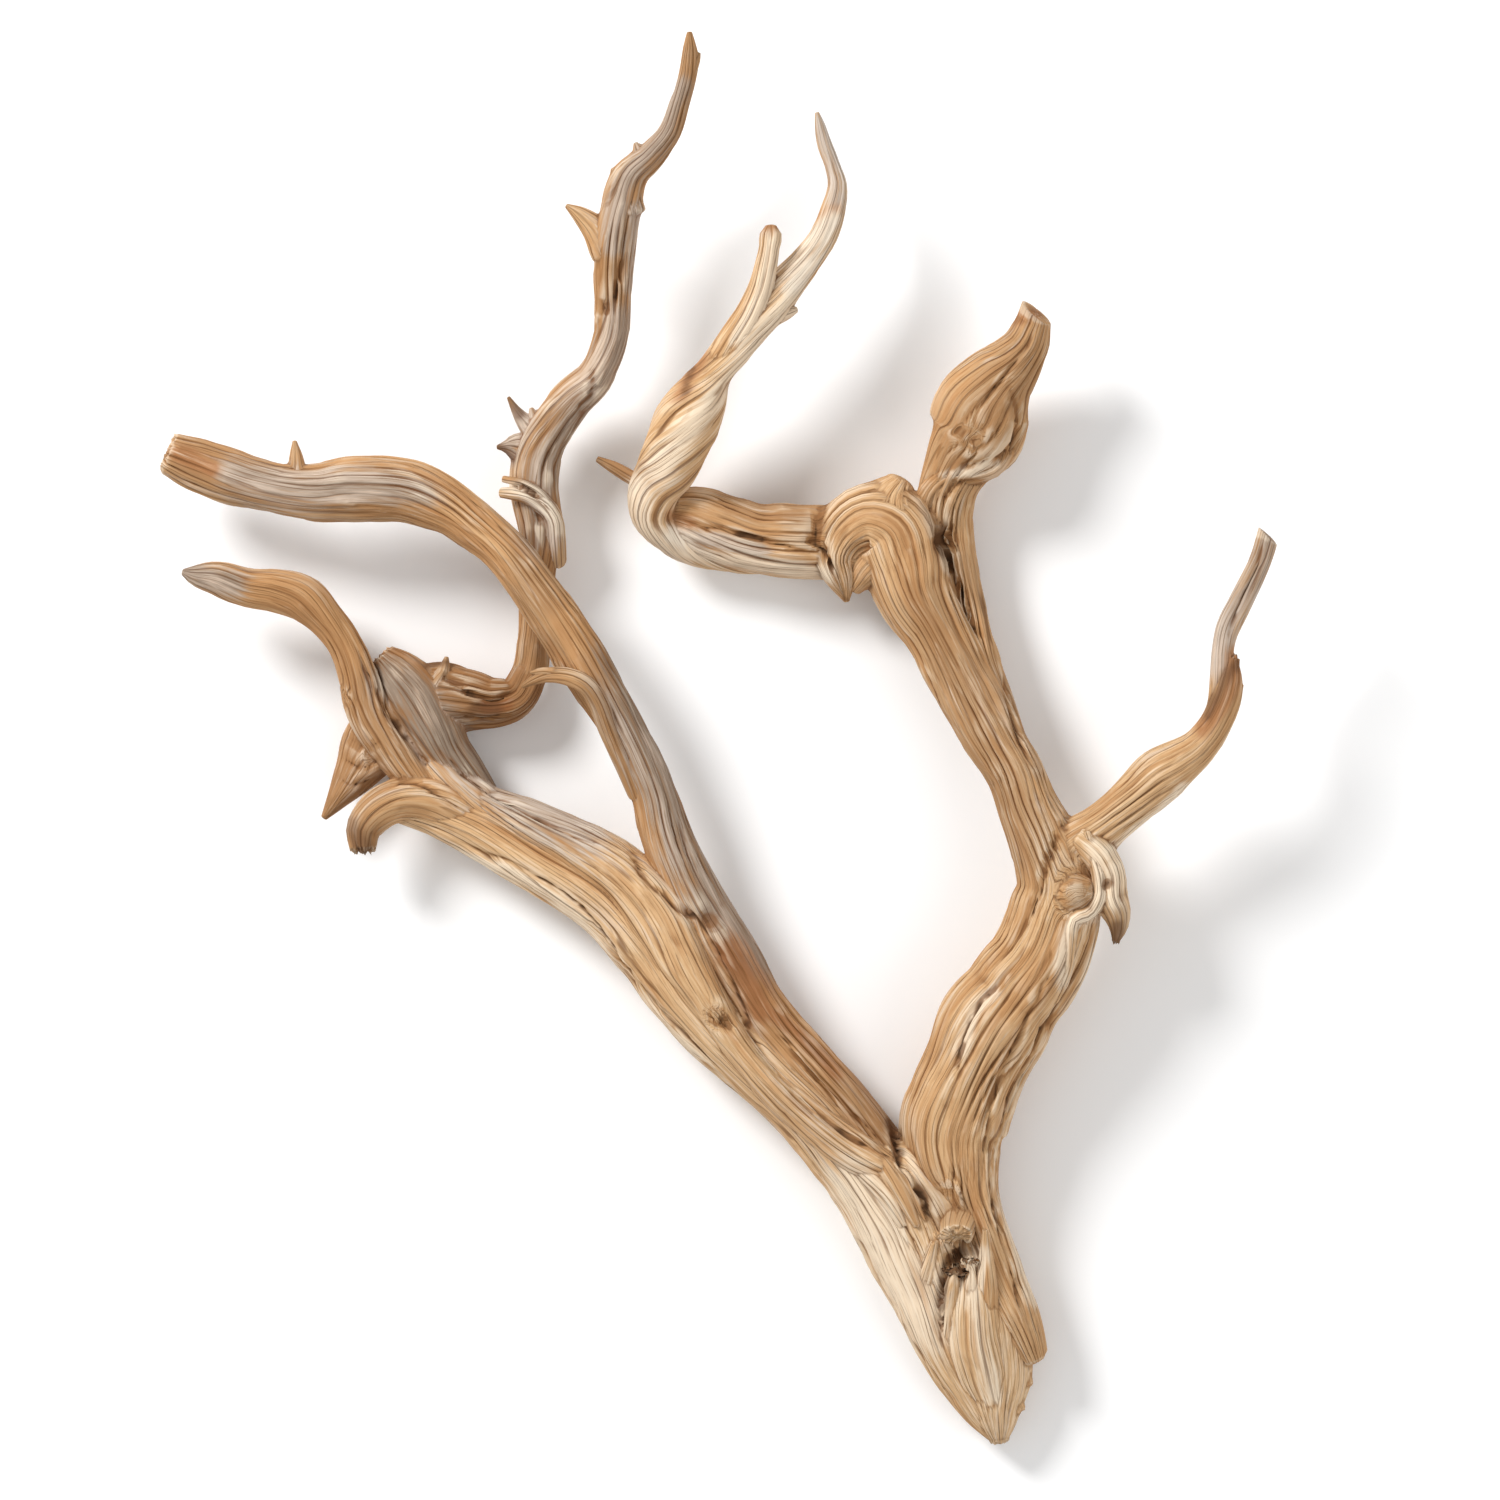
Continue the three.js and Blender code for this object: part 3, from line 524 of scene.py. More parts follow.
class Limb:
    """A limb's skin as a grid of rings, with the grain's own coordinates at each point.

    twist is the spiral of the grain in turns per metre, over the first half and over the rest.
    relief is how strongly it is worn into grooves, flaky how far its outer plates stand off in
    mm, tone how light the wood is. knots are [x, y, radius] seen from above. ends are how far
    each end domes out for its size, ragged how far it splinters and slant how far its right
    side runs ahead, or its left side when less than 0, in mm. crowd is how much closer the
    points of a ring stand on its upper side.
    """

    def __init__(
        self, name, stations, seed, twist=(0.5, 0.5), relief=0.8, flaky=0.5, tone=0.0, knots=(),
        ends=(0.35, 0.35), ragged=(0.0, 0.0), slant=(0.0, 0.0), crowd=UPPER_CROWD,
    ):
        self.name, self.seed = name, seed
        self.relief, self.flaky, self.tone = relief, flaky, tone
        self.ends, self.ragged, self.slant = ends, ragged, slant
        spacing = ALONG if len(stations) > SHORT_COURSE else ALONG * SHORT_ALONG
        course, self.marks = smooth_course(stations, spacing)
        uneven = noise(self.marks / 26, seed * 1.7, 0.5, seed + 31)
        lumps = noise(self.marks / 11, seed * 1.3, 0.5, seed + 32)
        self.centre = course[:, :3] + MIDDLE_SHIFT
        self.half = course[:, 3:] / 2 * (1 + SWELLS * uneven + LUMPS * lumps)[:, None]
        ahead = np.gradient(self.centre, axis=0)
        self.ahead = ahead / np.linalg.norm(ahead, axis=1, keepdims=True)
        across = np.stack([self.ahead[:, 1], -self.ahead[:, 0], np.zeros(len(ahead))], axis=1)
        self.across = across / np.linalg.norm(across, axis=1, keepdims=True)
        self.upward = np.cross(self.across, self.ahead)
        bend = np.einsum("ij,ij->i", np.gradient(self.ahead, self.marks, axis=0), self.across)
        self.bend = soft_average(bend, 2)
        girth = np.percentile(self.half.mean(axis=1), 70) * 2 * math.pi
        self.sides = max(LEAST_SIDES, int(girth / ACROSS))
        self.layers = 2 * max(3, round(girth / GRAIN / 2))
        self.spiral = self.wound(*twist)
        even = np.linspace(0.0, 2 * math.pi, self.sides, endpoint=False)
        walk = even[None, :] - self.spiral[:, None]
        self.turn = walk + crowd * np.cos(walk)
        self.knots = [self.place_on_limb(*knot) for knot in knots]

    def wound(self, early, late):
        """How far the grain has wound round the limb at each ring, in radians."""
        rate = early + (late - early) * smoothstep(*TWIST_CHANGE, self.marks / self.marks[-1])
        return np.cumsum(rate) * (self.marks[1] - self.marks[0]) * MM * 2 * math.pi

    def place_on_limb(self, x, y, radius):
        """A knot's way along the limb, its place across it and its radius."""
        offsets = np.array([x, y]) + MIDDLE_SHIFT[:2] - self.centre[:, :2]
        row = int(np.argmin(np.linalg.norm(offsets, axis=1)))
        return self.marks[row], float(offsets[row] @ self.across[row, :2]), radius

    def fibre(self):
        """The grain's coordinates in mm: two across the fibres, one along them."""
        radius = soft_average(self.half.mean(axis=1), 6)
        steady = radius.mean() * 0.6 + radius * 0.4
        spiral = self.turn + self.spiral[:, None]
        along = np.broadcast_to(self.marks[:, None], spiral.shape)
        x = steady[:, None] * np.cos(spiral)
        y = steady[:, None] * np.sin(spiral)
        sway = 1.5 * noise(x / 14, y / 14, along / 42, self.seed + 7)
        swell = 1.5 * noise(x / 14, y / 14, along / 42, self.seed + 8)
        x, y = x + sway, y + swell
        layer = self.layers * spiral / (2 * math.pi) + 0.4 * sway
        beside = self.half[:, :1] * np.cos(self.turn)
        above = np.sin(self.turn) > -0.1
        for knot_along, knot_across, knot_radius in self.knots:
            lead = along - knot_along
            off = beside - knot_across
            apart = np.sqrt(lead**2 + off**2) + 1e-6
            reach = np.clip(knot_radius / apart, 0, 1) ** 2
            bent = np.where(apart > knot_radius, off * (1 - reach), apart - knot_radius)
            share = above * smoothstep(3.4, 1.2, apart / knot_radius)
            x = x + share * (bent - off)
            layer = layer + share * (bent - off) / GRAIN
            inner = smoothstep(1.6, 0.8, apart / knot_radius) * above
            y = y * (1 - 0.8 * inner)
            along = along * (1 - inner) + (knot_along + np.arctan2(off, lead) * 3) * inner
        wander = noise(x / 12, y / 12, along / 95, self.seed + 2)
        crowd = noise(x / 5.5, y / 5.5, along / 65, self.seed + 4)
        return x, y, along, layer + 1.9 * wander + 1.0 * crowd

    def worn(self, x, y, along, layer):
        """How far the skin stands out in mm, with every other layer of the grain a groove.

        The coordinates are divided by the size of each pattern's patches in mm.
        """
        seed = self.seed
        lobes = noise(x / 14, y / 14, along / 80, seed + 1)
        corners = noise(x / 8, y / 8, along / 60, seed + 9)
        strength = smoothstep(-0.3, 0.6, noise(x / 13, y / 13, along / 38, seed + 3))
        fine = noise(x / 2.2, y / 2.2, along / 22, seed + 5)
        steps = noise(x / 6, y / 6, along / 15, seed + 6)
        plates = smoothstep(-0.02, 0.16, noise(x / 6.5, y / 6.5, along / 24, seed + 10))
        groove = smoothstep(0.42, 1.0, np.cos(math.pi * layer)) * (0.1 + 0.9 * strength)
        out = 1.9 * lobes + 0.9 * corners + 0.35 * steps + 0.2 * fine - 1.6 * groove
        return out * self.relief + (plates - 0.8) * self.flaky

    def skin(self):
        """Points (rings, sides, 3) in mm and a dictionary of values at each point."""
        x, y, along, layer = self.fibre()
        out = self.worn(x, y, along, layer)
        radius = self.half.mean(axis=1)[:, None]
        out = out * np.clip(radius / FULL_RELIEF, 0.15, 1.0)
        side = (self.half[:, :1] + out) * np.cos(self.turn)
        rise = (self.half[:, 1:] + out) * np.sin(self.turn)
        inside = side * np.sign(self.bend)[:, None] > 0
        tight = (BEND_ROOM / np.maximum(np.abs(self.bend), 1e-5))[:, None]
        side = np.where(inside, np.clip(side, -tight, tight), side)
        points = self.centre[:, None] + side[..., None] * self.across[:, None]
        points = points + rise[..., None] * self.upward[:, None]
        run = np.broadcast_to(self.ahead[:, None], points.shape)
        values = {"x": x, "y": y, "along": along, "layer": layer}
        return points, values | {"east": run[..., 0], "north": run[..., 1]}

    def closed(self):
        """The skin with its ends closed by shrinking rings: points, faces and values."""
        points, values = self.skin()
        rings = [points]
        stacks = {key: [value] for key, value in values.items()}
        tips = []
        for end, row in ((0, 0), (1, -1)):
            outward = self.ahead[row] * (1 if end else -1)
            bulge = self.ends[end] * self.half[row].mean()
            x, y = values["x"][row], values["y"][row]
            added = []
            for share in TIP_RINGS:
                shattered = noise(x * share / 2.3, y * share / 2.3, 0.5, self.seed + 41 + end)
                proud = bulge * math.sqrt(1 - share**2) + self.ragged[end] * np.abs(shattered)
                lead = self.slant[end]
                proud = proud + (abs(lead) + lead * share * np.cos(self.turn[row])) / 2
                ring = self.centre[row] + (points[row] - self.centre[row]) * share
                added.append(ring + outward * proud[:, None])
            tips.append(added[-1].mean(axis=0))
            order = added[::-1] if end == 0 else added
            rings = [np.array(order), *rings] if end == 0 else [*rings, np.array(order)]
            for key, stack in stacks.items():
                copies = np.array([values[key][row] * (share if key in "xy" else 1) for share in TIP_RINGS])
                copies = copies[::-1] if end == 0 else copies
                stacks[key] = [copies, *stack] if end == 0 else [*stack, copies]
        grid = np.concatenate(rings)
        count, sides = grid.shape[:2]
        spots = np.vstack([grid.reshape(-1, 3), *[tip[None] for tip in tips]])
        flat = {}
        for key, stack in stacks.items():
            body = np.concatenate(stack).reshape(-1)
            flat[key] = np.concatenate([body, [body[0], body[-1]]])
        return spots, ring_faces(count, sides), flat


def ring_faces(count, sides):
    """Quads between neighbouring rings and a fan at each end, all facing out."""
    ring = np.arange(sides)
    after = (ring + 1) % sides
    start = (np.arange(count - 1) * sides)[:, None]
    quads = np.stack([start + ring, start + sides + ring, start + sides + after, start + after], axis=2)
    first, last = count * sides, count * sides + 1
    top = (count - 1) * sides
    fans = [(first, int(a), int(b)) for a, b in zip(ring, after)]
    fans += [(last, int(top + b), int(top + a)) for a, b in zip(ring, after)]
    return quads.reshape(-1, 4).tolist() + fans


def read_all(items, name, width, kind=np.float32):
    """All the values of one property of a mesh's points, corners or faces."""
    values = np.empty(len(items) * width, dtype=kind)
    items.foreach_get(name, values)
    return values.reshape(-1, width) if width > 1 else values


def set_values(mesh, name, values, kind="FLOAT", domain="POINT"):
    """Values for each point, corner or face of a mesh, under a name that the material reads."""
    layer = mesh.attributes.new(name, kind, domain)
    kinds = {"FLOAT": ("value", np.float32), "INT": ("value", np.int32)}
    field, number = kinds.get(kind, ("vector", np.float32))
    layer.data.foreach_set(field, np.ascontiguousarray(values, dtype=number).reshape(-1))


def limb_object(limb, number):
    """A limb's closed skin, with the values that the material reads on its corners and faces."""
    spots, faces, values = limb.closed()
    mesh = bpy.data.meshes.new(limb.name)
    mesh.from_pydata((spots * MM).tolist(), [], faces)
    corners = read_all(mesh.loops, "vertex_index", 1, np.int32)
    fibre = np.stack([values["x"], values["y"], values["along"] + number * LIMB_APART], axis=1)
    set_values(mesh, "fibre", fibre[corners], "FLOAT_VECTOR", "CORNER")
    layer = values["layer"][corners]
    starts = np.repeat(*[read_all(mesh.polygons, key, 1, np.int32) for key in ("loop_start", "loop_total")])
    layer = layer + limb.layers * np.round((layer[starts] - layer) / limb.layers)
    set_values(mesh, "layer", layer, "FLOAT", "CORNER")
    set_values(mesh, "limb", np.full(len(mesh.polygons), number), "INT", "FACE")
    set_values(mesh, "tone", np.full(len(spots), limb.tone))
    run = np.stack([values["east"], values["north"], 0 * values["east"]], axis=1)
    set_values(mesh, "run", run, "FLOAT_VECTOR")
    return bpy.data.objects.new(limb.name, mesh)


# ---------------------------------------------------------------------------------------------
# The limbs, each with a seed of its own for its random patterns.

FLAT = (0.1, 0.1)  # ends that hardly dome out
TRUNK_KNOTS = [(79, -179, 4.5), (130, -56, 6)]


def left_limbs():
    """The butt, the left trunk in its strands and all that grows from it."""
    return [
        Limb("butt", BUTT, 5, relief=0.7, tone=0.08, ragged=(0, 2)),
        Limb("left_trunk", LEFT_TRUNK, 11, relief=0.6, flaky=0.3, tone=0.035),
        Limb("front_crest", FRONT_CREST, 23, relief=0.9, knots=[(-14, -106, 3)]),
        Limb("grey_strand", GREY_STRAND, 27, relief=0.5, flaky=0.2),
        Limb("butt_strand", BUTT_STRAND, 29, relief=0.7, tone=0.09),
        Limb("low_hook", LOW_HOOK, 31, relief=1.1, ragged=(0, 4), tone=-0.05, ends=(0.35, 0.1)),
        Limb("crossing_limb", CROSSING_LIMB, 41, tone=-0.07, ragged=(0, 3), ends=FLAT),
        Limb("knee_shoulder", KNEE_SHOULDER, 71, relief=1.1, tone=-0.25),
        Limb("knee", KNEE, 53, relief=0.5, flaky=0.2, tone=-0.2, ragged=(0, 2), ends=FLAT),
        Limb("small_limb", SMALL_LIMB, 61, twist=(2.0, 2.0), tone=-0.09, knots=[(-163, 22, 3)]),
        Limb("low_blade", LOW_BLADE, 67, tone=-0.12, knots=[(-151, -2, 3)]),
        Limb("back_limb", BACK_LIMB, 73, twist=(1.5, 0.5), flaky=0.9, tone=-0.08),
    ]


def right_limbs():
    """The right trunk and all that grows from it."""
    return [
        Limb("knuckle", KNUCKLE, 97, relief=0.6),
        Limb("elbow_limb", ELBOW_LIMB, 101, relief=0.65, tone=-0.05),
        Limb("right_trunk", RIGHT_TRUNK, 83, relief=1.0, tone=-0.03, knots=TRUNK_KNOTS),
        Limb("rising_limb", RISING_LIMB, 103, twist=(8.0, 1.0), relief=0.5, tone=0.04, crowd=0.0),
        Limb("fork_stub", FORK_STUB, 107, relief=0.6, tone=0.02),
        Limb("fork_spur", FORK_SPUR, 109, tone=-0.03),
        Limb("elbow_twig", ELBOW_TWIG, 113, tone=-0.08),
        Limb(
            "bulb_limb", BULB_LIMB, 127, twist=(0.5, 3.0), tone=-0.04, knots=[(89, 126, 4)],
            ends=FLAT, slant=(0, -5.5),
        ),
        Limb("neck_fold", NECK_FOLD, 128, tone=-0.04),
        Limb("bulb_wrap", BULB_WRAP, 129, relief=0.6, tone=-0.04),
        Limb("right_limb", RIGHT_LIMB, 131, twist=(1.5, 1.5), ragged=(0, 3)),
        Limb("right_tip", RIGHT_TIP, 135, relief=0.5, ends=FLAT, slant=(0, -5.0), tone=-0.02),
        Limb("side_knob", SIDE_KNOB, 137, relief=0.5, tone=-0.06, knots=[(132, -56, 3)]),
        Limb("knob_lip", KNOB_LIP, 138, relief=0.5, tone=0.04),
        Limb("knob_hook", KNOB_HOOK, 140, relief=0.25, tone=0.06, ragged=(0, 2)),
    ]


def small_parts():
    """The torn stub, the curls, spurs and splinters, and the folds over the fork."""
    return [
        Limb("torn_stub", TORN_STUB, 141, tone=0.05, ragged=(0, 2.5), ends=FLAT),
        Limb("crossing_spur", CROSSING_SPUR, 139, tone=-0.06),
        Limb("curl_spur", CURL_SPUR, 149, tone=-0.05),
        Limb("back_curl", BACK_CURL, 151),
        *[Limb(f"spur_{i}", part, 157 + i, tone=-0.04) for i, part in enumerate(SPURS)],
        *[Limb(f"splinter_{i}", part, 181 + i, ragged=(0, 2)) for i, part in enumerate(BUTT_SPLINTERS)],
        *[Limb(f"crest_fold_{i}", part, 201 + i, ragged=(0, 1.5)) for i, part in enumerate(CREST_FOLDS)],
    ]


def grown_together(limbs):
    """One closed mesh of all the limbs, with each limb's values kept on its own skin."""
    others = bpy.data.collections.new("limbs")
    first, *rest = [limb_object(limb, number) for number, limb in enumerate(limbs)]
    for other in rest:
        others.objects.link(other)
    bpy.context.scene.collection.children.link(others)
    bpy.context.scene.collection.objects.link(first)
    union = first.modifiers.new("grown", "BOOLEAN")
    union.operation = "UNION"
    union.solver = "MANIFOLD"
    union.operand_type = "COLLECTION"
    union.collection = others
    mesh = bpy.data.meshes.new_from_object(first.evaluated_get(bpy.context.evaluated_depsgraph_get()))
    for other in [first, *rest]:
        bpy.data.objects.remove(other)
    bpy.data.collections.remove(others)
    return mesh


# ---------------------------------------------------------------------------------------------
# Working the grown wood.


def seam_share(mesh, rounds):
    """1 where two limbs meet, fading to 0 over a number of points beyond."""
    owner = read_all(mesh.attributes["limb"].data, "value", 1, np.int32)
    sizes = read_all(mesh.polygons, "loop_total", 1, np.int32)
    corners = read_all(mesh.loops, "vertex_index", 1, np.int32)
    of_corner = np.repeat(owner, sizes)
    least = np.full(len(mesh.vertices), 10**6)
    most = np.full(len(mesh.vertices), -1)
    np.minimum.at(least, corners, of_corner)
    np.maximum.at(most, corners, of_corner)
    share = (least != most).astype(float)
    edges = read_all(mesh.edges, "vertices", 2, np.int32)
    for _ in range(rounds):
        wider = share.copy()
        np.maximum.at(wider, edges[:, 0], share[edges[:, 1]] * SEAM_FADE)
        np.maximum.at(wider, edges[:, 1], share[edges[:, 0]] * SEAM_FADE)
        share = wider
    return share


def eased(spots, edges, share, rounds):
    """Points drawn towards the middle of their neighbours, as far as their share says."""
    count = np.bincount(edges.reshape(-1), minlength=len(spots))[:, None]
    for _ in range(rounds):
        total = np.zeros_like(spots)
        np.add.at(total, edges[:, 0], spots[edges[:, 1]])
        np.add.at(total, edges[:, 1], spots[edges[:, 0]])
        spots = spots + (total / np.maximum(count, 1) - spots) * share[:, None] * EASING
    return spots


def reach_from(plan, course, farthest):
    """Each point's distance from a course in mm, and how far along the course it is, 0 to 1.

    Points more than the farthest distance outside the course's own box are left far away.
    """
    rows, marks = smooth_course([(*point, 0.0) for point in course], COURSE_STEP)
    line = rows[:, :2] + MIDDLE_SHIFT[:2]
    reach = np.full(len(plan), FAR_AWAY)
    place = np.zeros(len(plan))
    low, high = line.min(axis=0) - farthest, line.max(axis=0) + farthest
    near = np.flatnonzero(np.all((plan > low) & (plan < high), axis=1))
    apart = np.linalg.norm(plan[near, None] - line[None], axis=2)
    reach[near] = apart.min(axis=1)
    place[near] = marks[apart.argmin(axis=1)] / marks[-1]
    return reach, place


def brushed(plan, strokes):
    """The strength of a set of strokes at each point, 1 on a stroke and fading past its width."""
    level = np.zeros(len(plan))
    for width, course in strokes:
        reach, _ = reach_from(plan, course, STROKE_REACH * width)
        level = np.maximum(level, np.exp(-((reach / width) ** 2)))
    return level


def hollow_depth(spots, normals, edges):
    """How far each point lies below the wood around it in mm, less than 0 on a crest."""
    whole = np.ones(len(spots))
    levelled = eased(spots, edges, whole, NEAR_ROUNDS)
    hollow = np.einsum("ij,ij->i", levelled - spots, normals)
    return hollow - eased(hollow[:, None], edges, whole, FAR_ROUNDS)[:, 0]


def wandering(spots):
    """Each point's place seen from above, shifted a little so that marks get uneven edges."""
    x, y = spots[:, 0] / MARK_PATCH, spots[:, 1] / MARK_PATCH
    shift = np.stack([noise(x, y, 0.5, seed) for seed in (3, 4)], axis=1)
    return spots[:, :2] + MARK_SWAY * shift


def cuts(plan):
    """How deep the cracks and pockets go at each point in mm, and how many half widths off they are."""
    depth = np.zeros(len(plan))
    gap = np.full(len(plan), NO_GAP)
    for half_width, deep, course in CRACKS:
        reach, place = reach_from(plan, course, CRACK_REACH)
        taper = np.sin(np.pi * np.clip(place, 0.02, 0.98)) ** 0.5
        depth = np.maximum(depth, deep * taper * np.exp(-((reach / (half_width + CRACK_SLOPE)) ** 2)))
        gap = np.minimum(gap, reach / (half_width * taper))
    for x, y, radius, deep in POCKETS:
        apart = np.linalg.norm(plan - (np.array([x, y]) + MIDDLE_SHIFT[:2]), axis=1)
        depth = np.maximum(depth, deep * np.exp(-((apart / radius) ** 2)))
        gap = np.minimum(gap, POCKET_GAP + apart / radius * POCKET_SHADE)
    return depth, gap


def moved(mesh, spots):
    """Puts the mesh's points at new places in mm and returns its new normals."""
    mesh.vertices.foreach_set("co", (spots * MM).reshape(-1))
    mesh.update()
    return read_all(mesh.vertices, "normal", 3).astype(float)


def work_by_hand(mesh):
    """Eases the seams, opens cracks and pockets, and marks the stained and bleached places and the places of
    painted shade and painted highlights.
    """
    spots = read_all(mesh.vertices, "co", 3).astype(float) / MM
    edges = read_all(mesh.edges, "vertices", 2, np.int32)
    seam = seam_share(mesh, SEAM_ROUNDS)
    spots = eased(spots, edges, seam, SEAM_ROUNDS)
    normals = moved(mesh, spots)
    facing = smoothstep(*FACING_UP, normals[:, 2])
    plan = wandering(spots)
    depth, gap = cuts(plan)
    spots = spots - normals * (depth * facing)[:, None]
    spots[:, 2] = np.maximum(spots[:, 2], TABLE_HEIGHT)
    normals = moved(mesh, spots)
    # Depth below the wood around, which the finish turns into painted shade in hollows and painted highlights
    # on crests.
    set_values(mesh, "hollow", hollow_depth(spots, normals, edges))
    # How far each point is from a crack or pocket, which the finish turns into painted shade inside them.
    set_values(mesh, "gap", gap + 3 * (1 - facing))
    # Where two limbs meet, which the finish darkens as painted shade.
    set_values(mesh, "seam", seam)
    # The strokes' strengths, among them the places of painted shade and painted highlights.
    for name, strokes in STROKES.items():
        set_values(mesh, name, brushed(plan, strokes))


# ---------------------------------------------------------------------------------------------
# Frayed fibres, which stand off the torn places.


def tree_node(tree, kind, inputs=None, **settings):
    """A node of a geometry tree with its settings, and its inputs linked or given."""
    made = tree.nodes.new(kind)
    for key, value in settings.items():
        setattr(made, key, value)
    for key, value in (inputs or {}).items():
        if isinstance(value, bpy.types.NodeSocket):
            tree.links.new(value, made.inputs[key])
        else:
            made.inputs[key].default_value = value
    return made


def fibre_sockets(tree):
    """Gives the tree its inputs and output, and returns the inputs' identifiers by name."""
    socket = tree.interface.new_socket
    socket("Wood", in_out="INPUT", socket_type="NodeSocketGeometry")
    kinds = {"Fibre length": "Float", "Fibre radius": "Float", "Fibres per m2": "Float", "Seed": "Int"}
    named = {}
    for name, kind in kinds.items():
        named[name] = socket(name, in_out="INPUT", socket_type=f"NodeSocket{kind}").identifier
    socket("Wood", in_out="OUTPUT", socket_type="NodeSocketGeometry")
    return named


def fibre_tree(material):
    """Thin pointed fibres scattered where the wood is frayed, lying along the grain."""
    tree = bpy.data.node_groups.new("frayed_fibres", "GeometryNodeTree")
    named = fibre_sockets(tree)

    def node(kind, inputs=None, output=0, **settings):
        return tree_node(tree, kind, inputs, **settings).outputs[output]

    given = tree_node(tree, "NodeGroupInput").outputs
    fray = node("GeometryNodeInputNamedAttribute", {"Name": "fray"}, data_type="FLOAT")
    run = node("GeometryNodeInputNamedAttribute", {"Name": "run"}, data_type="FLOAT_VECTOR")
    torn = node("ShaderNodeMath", {0: fray, 1: 3.0}, operation="POWER")
    density = node("ShaderNodeMath", {0: torn, 1: given["Fibres per m2"]}, operation="MULTIPLY")
    where = {"Mesh": given["Wood"], "Density": density, "Seed": given["Seed"]}
    scatter = tree_node(tree, "GeometryNodeDistributePointsOnFaces", where).outputs
    lift = node("ShaderNodeVectorMath", {0: scatter["Normal"], 3: FIBRE_LIFT}, operation="SCALE")
    lean = node("ShaderNodeVectorMath", {0: run, 1: lift}, operation="ADD")
    aim = node("FunctionNodeAlignRotationToVector", {"Vector": lean}, axis="Z")
    shape = {"Vertices": FIBRE_SIDES, "Radius Top": 0.0}
    shape |= {"Radius Bottom": given["Fibre radius"], "Depth": given["Fibre length"]}
    cone = node("GeometryNodeMeshCone", shape, "Mesh")
    sizes = {2: LEAST_FIBRE, 3: MOST_FIBRE, "Seed": given["Seed"]}
    size = node("FunctionNodeRandomValue", sizes, 1, data_type="FLOAT")
    planted = {"Points": scatter["Points"], "Instance": cone, "Rotation": aim, "Scale": size}
    fibres = node("GeometryNodeInstanceOnPoints", planted)
    real = node("GeometryNodeRealizeInstances", {"Geometry": fibres})
    dressed = node("GeometryNodeSetMaterial", {"Geometry": real, "Material": material})
    joined = tree_node(tree, "GeometryNodeJoinGeometry", {0: dressed})
    tree.links.new(given["Wood"], joined.inputs[0])
    tree_node(tree, "NodeGroupOutput", {0: joined.outputs[0]})
    return tree, named


def with_frayed_fibres(mesh, material):
    """The wood's mesh with its frayed fibres, as one plain mesh."""
    tree, named = fibre_tree(material)
    holder = bpy.data.objects.new("fraying", mesh)
    frayer = holder.modifiers.new("fibres", "NODES")
    frayer.node_group = tree
    frayer[named["Fibre length"]] = FIBRE_LENGTH
    frayer[named["Fibre radius"]] = FIBRE_RADIUS
    frayer[named["Fibres per m2"]] = FIBRES_PER_M2
    frayer[named["Seed"]] = FIBRE_SEED
    bpy.context.scene.collection.objects.link(holder)
    frayed = bpy.data.meshes.new_from_object(holder.evaluated_get(bpy.context.evaluated_depsgraph_get()))
    bpy.data.objects.remove(holder)
    frayed.materials.clear()
    frayed.materials.append(material)
    frayed.polygons.foreach_set("material_index", np.zeros(len(frayed.polygons), dtype=np.int32))
    frayed.polygons.foreach_set("use_smooth", np.ones(len(frayed.polygons), dtype=bool))
    return frayed


# ---------------------------------------------------------------------------------------------
# The finish.


class Wire:
    """A value on its way through a material: arithmetic on it adds the nodes that work it out."""

    def __init__(self, bench, socket):
        self.bench = bench
        self.socket = socket

    def maths(self, operation, first, second):
        """The node that works out one operation on two values."""
        return self.bench.node("ShaderNodeMath", {"operation": operation}, {0: first, 1: second})

    def __add__(self, other):
        return self.maths("ADD", self, other)

    def __sub__(self, other):
        return self.maths("SUBTRACT", self, other)

    def __rsub__(self, other):
        return self.maths("SUBTRACT", other, self)

    def __mul__(self, other):
        return self.maths("MULTIPLY", self, other)


